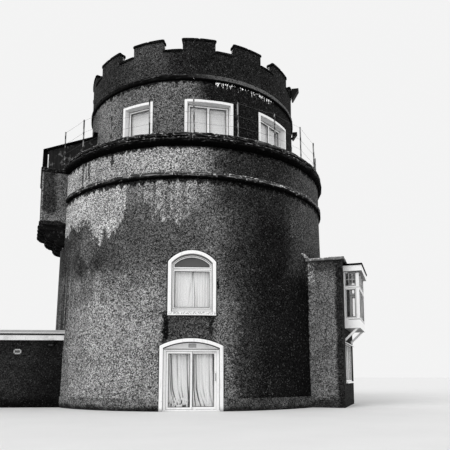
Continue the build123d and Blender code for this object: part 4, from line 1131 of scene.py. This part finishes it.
curtain_reach, curtain_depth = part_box("door_curtains")[1].x, 0.031
curtain_cloth = hanging_cloth("white_curtain", "door_curtains", curtain_depth)
left_creases = ((-0.80, -0.70, -0.52, 0.9, 0.026), (-0.71, -0.64, -0.38, 1.1, 0.024),
                (-0.60, -0.55, -0.30, 0.6, 0.03), (-0.50, -0.45, -0.24, 0.8, 0.024),
                (-0.36, -0.33, -0.15, 1.0, 0.026), (-0.26, -0.23, -0.1, 0.6, 0.022),
                (-0.15, -0.11, -0.04, 1.3, 0.026), (-0.05, -0.045, -0.03, 1.2, 0.02))
right_creases = ((0.085, 0.085, 0.17, 1.3, 0.022), (0.15, 0.18, 0.36, 1.5, 0.024),
                 (0.25, 0.28, 0.50, 0.9, 0.026), (0.37, 0.40, 0.64, 0.5, 0.03),
                 (0.48, 0.50, 0.70, 0.6, 0.026), (0.60, 0.62, 0.76, 0.6, 0.024),
                 (0.74, 0.78, 0.83, 1.8, 0.03))
for hand, left, right, creases in (("left", -curtain_reach, -0.012, left_creases),
                                   ("right", 0.022, curtain_reach, right_creases)):
    hang(f"door_curtain_{hand}", "door_curtains", curtain_cloth, left, right, curtain_depth, (72, 110), 1,
         curtain_folds, creases)


# Net curtains of the first-floor window
# Fine white net in small even folds, in two halves that just lap at the middle and are drawn a little
# aside lower down.
def net_folds(s, fall, back):
    wave = 0.28 * math.sin(s * 70 + 0.6 * fall) + 0.16 * math.sin(s * 29 + 1)
    return creased(s, fall, net_creases) * 0.9 - 0.55 + wave + back


net_reach, net_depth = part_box("window_curtains")[1].x, 0.022
net_cloth = hanging_cloth("window_net", "window_curtains", net_depth)
net_creases = ((0.0, -0.09, -0.15, 1.0, 0.012), (0.02, -0.03, -0.06, 0.7, 0.012),
               (0.05, 0.105, 0.10, 1.1, 0.012), (0.15, 0.17, 0.17, 0.7, 0.015),
               (-0.69, -0.68, -0.66, 1.0, 0.02), (0.68, 0.68, 0.66, 1.0, 0.02))
for hand, left, right, back in (("left", -net_reach, 0.012, 0), ("right", -0.01, net_reach, 0.25)):
    hang(f"window_net_{hand}", "window_curtains", net_cloth, left, right, net_depth, (48, 120), 1.2,
         net_folds, back)


# Floodlights
# Dark painted metal, also used for the wing's lamp.
metal = Finish("dark_metal")
tone = metal.mix(metal.grain(24, 4), 10, 34)
dark_metal = metal.surface(tone, 0.45 + 0.2 * metal.grain(60, 3), metal.bump(metal.grain(90, 3), 0.0005),
                           IOR=1.15)
dress(dark_metal, "floodlights")


# Patio door's fittings
# A louvred vent of grey plastic in the head panel, and on the sliding leaf a worn pull handle over a
# white plate with its lock.
worn_coating = plain("handle_coating", greys=(96, 150), clouds=(30, 4), roughness=0.4, pits=(90, 2),
                     depth=0.0003)
dress(worn_coating, "sliding_leaf_handle")
grey_plastic = plain("grey_grille", greys=(140, 196), clouds=(14, 4), roughness=0.6, pits=(60, 3),
                     depth=0.0006)


def louvre(low, high, slats, edge=0.016):
    # A frame with sloping slats, open between them, from its two corners. Its face looks to -Y.
    slat_deep, slat_inset, slope = 0.005, 0.002, 0.7
    (left, near, foot), (right, far, head) = low, high
    parts = ([], [])
    for x0, z0, x1, z1 in ((left, foot, right, foot + edge), (left, head - edge, right, head),
                           (left, foot, left + edge, head), (right - edge, foot, right, head)):
        add_block(*parts, (x0, near, z0), (x1, far, z1), soft=0.003)
    rise = (head - foot - 2 * edge) / slats
    for number in range(slats):
        z = foot + edge + rise * (number + 0.3)
        base = len(parts[0])
        add_block(*parts, (left + edge, near + slat_inset, z), (right - edge, far, z + slat_deep), soft=0.001)
        for vertex in parts[0][base:]:
            vertex.z += (vertex.y - near) * slope
    return parts


panel_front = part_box("door_head_panel")[0].y
vent_left, vent_right, vent_foot, vent_head, vent_out, hair_gap = -0.10, 0.16, 2.125, 2.255, 0.014, 0.0005
vent_parts = louvre((vent_left, panel_front - vent_out, vent_foot),
                    (vent_right, panel_front - hair_gap, vent_head), 5)
add_piece("door_head_vent", vent_parts, grey_plastic)
lower, upper_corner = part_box("sliding_leaf_handle")
leaf_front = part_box("sliding_leaf")[0].y
plate_parts, plate_wide, plate_high, plate_out, lock_out = ([], []), 0.006, 0.03, 0.005, 0.011
add_block(*plate_parts, (lower.x - plate_wide, leaf_front - plate_out, lower.z - plate_high),
          (upper_corner.x + plate_wide, leaf_front - hair_gap, upper_corner.z + plate_high))
add_block(*plate_parts, (lower.x + 0.004, leaf_front - lock_out, lower.z - 0.02),
          (lower.x + 0.014, leaf_front - 0.004, lower.z - 0.005), soft=0.002)
add_piece("sliding_leaf_plate", plate_parts, white_plastic, body="sliding_door")


# Bay's coping
# One slab of the old stone, torn at its ends and bedded on the bay's walls under the oriel.
pale_stone = weathered_stone("bay_coping_stone", dark=66, light=165, rim=240, layers=0.012)
worn_copy("worn_bay_coping", "bay_coping", pale_stone, voxel=0.035, wear=0.03)

# A torn fillet of pale mortar climbs the drum at the coping's near end.
meeting, fillet_out = bay_bearing - 18.1, 5.79
fillet = [(-2.0, 5.86, 0.015), (-1.5, 5.845, 0.045), (-0.6, 5.81, 0.055), (0.5, 5.78, 0.055),
          (2, 5.745, 0.045), (4, 5.72, 0.02)]
fillet_parts = ([], [])
fillet_line = [round_tower(math.radians(meeting + turn), fillet_out, level) for turn, level, radius in fillet]
add_tube(*fillet_parts, fillet_line, [radius for turn, level, radius in fillet], 10)
for vertex in fillet_parts[0]:
    vertex += Vector((1, -1, 0.5)) * 0.03 * noise.noise(vertex * 11)
lime_mortar = Finish("pale_mortar")
tone = lime_mortar.mix(lime_mortar.rise(lime_mortar.grain(18, 4), 0.4, 0.6), 90, 215)
pale_mortar = lime_mortar.surface(tone, 0.9, lime_mortar.bump(lime_mortar.grain(40, 4), 0.01))
add_piece("torn_mortar_fillet", fillet_parts, pale_mortar, smooth=True)


# Oriel's glazing bars
# White lattice bars, two upright and one level, screwed over each of the oriel's top lights.
bar_width, bar_deep, lattice_parts = 0.012, 0.01, ([], [])
for corners, look in oriel_upper:
    middle, across, half = spread_of(corners, look)
    bottom, top = min(corner.z for corner in corners), max(corner.z for corner in corners)
    turn = math.degrees(math.atan2(across.y, across.x))
    out, along, level = middle.dot(look), middle.dot(across), (bottom + top) / 2
    upright = bar_width / 2
    for left, right, low, high in (
            (-0.36 * half - upright, -0.36 * half + upright, bottom, top),
            (0.36 * half - upright, 0.36 * half + upright, bottom, top),
            (-half, half, level - upright, level + upright)):
        add_block(*lattice_parts, (along + left, -out - bar_deep, low),
                  (along + right, -out - hair_gap, high), turn, 0.003)
add_piece("oriel_lattice", lattice_parts, white_plastic)


# Wing's rear door and window
# A half-glazed door and a two-light window of the same white plastic, in the back wall.
lower, upper_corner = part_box("wing_rear_joinery")
near, far, head, bar, lap_in = lower.y, upper_corner.y, upper_corner.z, 0.06, 0.05
door_middle, door_half, door_low, lock_rail = -7.9, 0.475, lower.z, 1.0
window_middle, window_half, window_low, window_transom = -6.45, 0.6, 1.05, 1.75
frame_parts, pane_parts = ([], []), ([], [])
for middle, half, low, glass_low, rail, uprights in (
        (door_middle, door_half, door_low, lock_rail, lock_rail, (-door_half, door_half - bar)),
        (window_middle, window_half, window_low, window_low, window_transom,
         (-window_half, window_half - bar, -bar / 2))):
    for x in uprights:
        add_block(*frame_parts, (middle + x, near, low), (middle + x + bar, far, head))
    for z in (low, head - bar, rail):
        add_block(*frame_parts, (middle - half + bar, near + 0.001, z),
                  (middle + half - bar, far - 0.001, z + bar))
    add_block(*pane_parts, (middle - half + bar / 2, near + 0.016, glass_low + bar / 2),
              (middle + half - bar / 2, near + 0.03, head - bar / 2), soft=0.001)

# The door's lower panel, its lock plate and its lever.
lock_edge = door_middle + door_half
add_block(*frame_parts, (door_middle - door_half + lap_in, near + 0.012, door_low + lap_in),
          (lock_edge - lap_in, far - 0.012, lock_rail + 0.01))
add_block(*frame_parts, (lock_edge - 0.045, far, 0.98), (lock_edge - 0.02, far + 0.008, 1.16))
add_block(*frame_parts, (lock_edge - 0.15, far + 0.02, 1.055), (lock_edge - 0.02, far + 0.035, 1.075))
add_piece("wing_rear_frames", frame_parts, white_plastic, "wing_rear_joinery")
add_piece("wing_rear_panes", pane_parts, clear_glass, "wing_rear_joinery")


# Wing's vent
# A pale louvred grille of plastic, screwed to the front wall under the fascia.
wing_front = -3.2
grille_left, grille_right, grille_foot, grille_head, grille_out = -6.70, -6.42, 1.99, 2.18, 0.018
grille_parts = louvre((grille_left, wing_front - grille_out, grille_foot),
                      (grille_right, wing_front - 0.0002, grille_head), 2, edge=0.042)
add_piece("wing_grille", grille_parts, grey_plastic, "wing_vent_and_lamp")


# Wing's fascia
# Two white boards one above the other, with a black gap between them and a grey metal drip along the top.
edging = Finish("fascia_paint")
grime = edging.grain(3, 5)
tone = edging.mix(edging.rise(grime, 0.45, 0.7), 232, 208)
tone = edging.mix(edging.rise(edging.streaks(20, 20, 2), 0.56, 0.72) * 0.5, tone, 170)

# Over the lower board come a dark band of painted shadow under the upper board, the clean edge of the upper
# board and the grey drip.
drip = edging.mix(grime, 146, 184)
for low, high, above in ((2.695, 2.71, 30), (2.773, 2.776, 228), (2.80, 2.805, drip)):
    tone = edging.mix(edging.rise(edging.z, low, high), tone, above)
dress(edging.surface(tone, 0.5 + 0.2 * grime, edging.bump(edging.grain(60, 2), 0.0004)), "wing_fascia")
wing_back, wing_end = 1.2, -9.0
gap_low, gap_high, gap_out, board_out, corner_lap = 2.752, 2.773, 0.032, 0.0228, 0.03
front_meets_drum, back_meets_drum, gap_parts = -4.90, -5.72, ([], [])
for left, right, near, far in (
        (wing_end - corner_lap, front_meets_drum, wing_front - gap_out, wing_front - board_out),
        (wing_end - corner_lap, back_meets_drum, wing_back + board_out, wing_back + gap_out),
        (wing_end - gap_out, wing_end - board_out, wing_front, wing_back)):
    add_block(*gap_parts, (left, near, gap_low), (right, far, gap_high), soft=0.001)
add_piece("fascia_shadow_gap", gap_parts, black_rubber)


# Wing's lamp
# A black bulkhead lamp, screwed to the front wall under the fascia: a wedge-shaped hood and five guard
# bars over a frosted lens.
def add_wedge(vertices, faces, outline, left, right, soft=0.006):
    # A housing drawn out sideways from its outline of depths and levels, with its edges taken off.
    cage = bmesh.new()
    cage.faces.new([cage.verts.new((left, y, z)) for y, z in outline])
    draw_out(cage, (right - left, 0, 0))
    bmesh.ops.recalc_face_normals(cage, faces=cage.faces)
    bmesh.ops.bevel(cage, geom=cage.edges, offset=soft, segments=2, affect="EDGES")
    take_from(cage, vertices, faces)


lamp_left, lamp_right, lamp_top, lamp_parts = -5.48, -5.18, 2.48, ([], [])


def lamp_block(parts, left, right, out, near, below, above, soft=0.004):
    # A bar of the lamp, from its places in from both ends, out from the wall and down from the top.
    add_block(*parts, (lamp_left + left, wing_front - out, lamp_top - below),
              (lamp_right - right, wing_front - near, lamp_top - above), soft=soft)


hood_steps = ((0, 0), (0.15, 0), (0.15, 0.06), (0.1, 0.1), (0, 0.1))
hood = [(wing_front - out, lamp_top - down) for out, down in hood_steps]
add_wedge(*lamp_parts, hood, lamp_left, lamp_right)
lamp_block(lamp_parts, 0.03, 0.03, 0.012, 0, 0.2, 0.08)
guards, guard_pitch, guard_half = 5, 0.055, 0.004
for number in range(guards):
    place = 0.04 + number * guard_pitch
    rest = lamp_right - lamp_left - place
    lamp_block(lamp_parts, place - guard_half, rest - guard_half, 0.088, 0, 0.19, 0.1, 0.002)
lamp_block(lamp_parts, 0.03, 0.03, 0.088, 0.078, 0.194, 0.18, 0.002)
add_piece("wing_lamp", lamp_parts, dark_metal, "wing_vent_and_lamp")
frosted = plain("frosted_lens", greys=(26, 64), clouds=(20, 3), roughness=0.35, pits=(60, 2), depth=0.001)
lens_parts = ([], [])
lamp_block(lens_parts, 0.05, 0.05, 0.075, 0.012, 0.175, 0.1, 0.02)
add_piece("wing_lamp_lens", lens_parts, frosted)
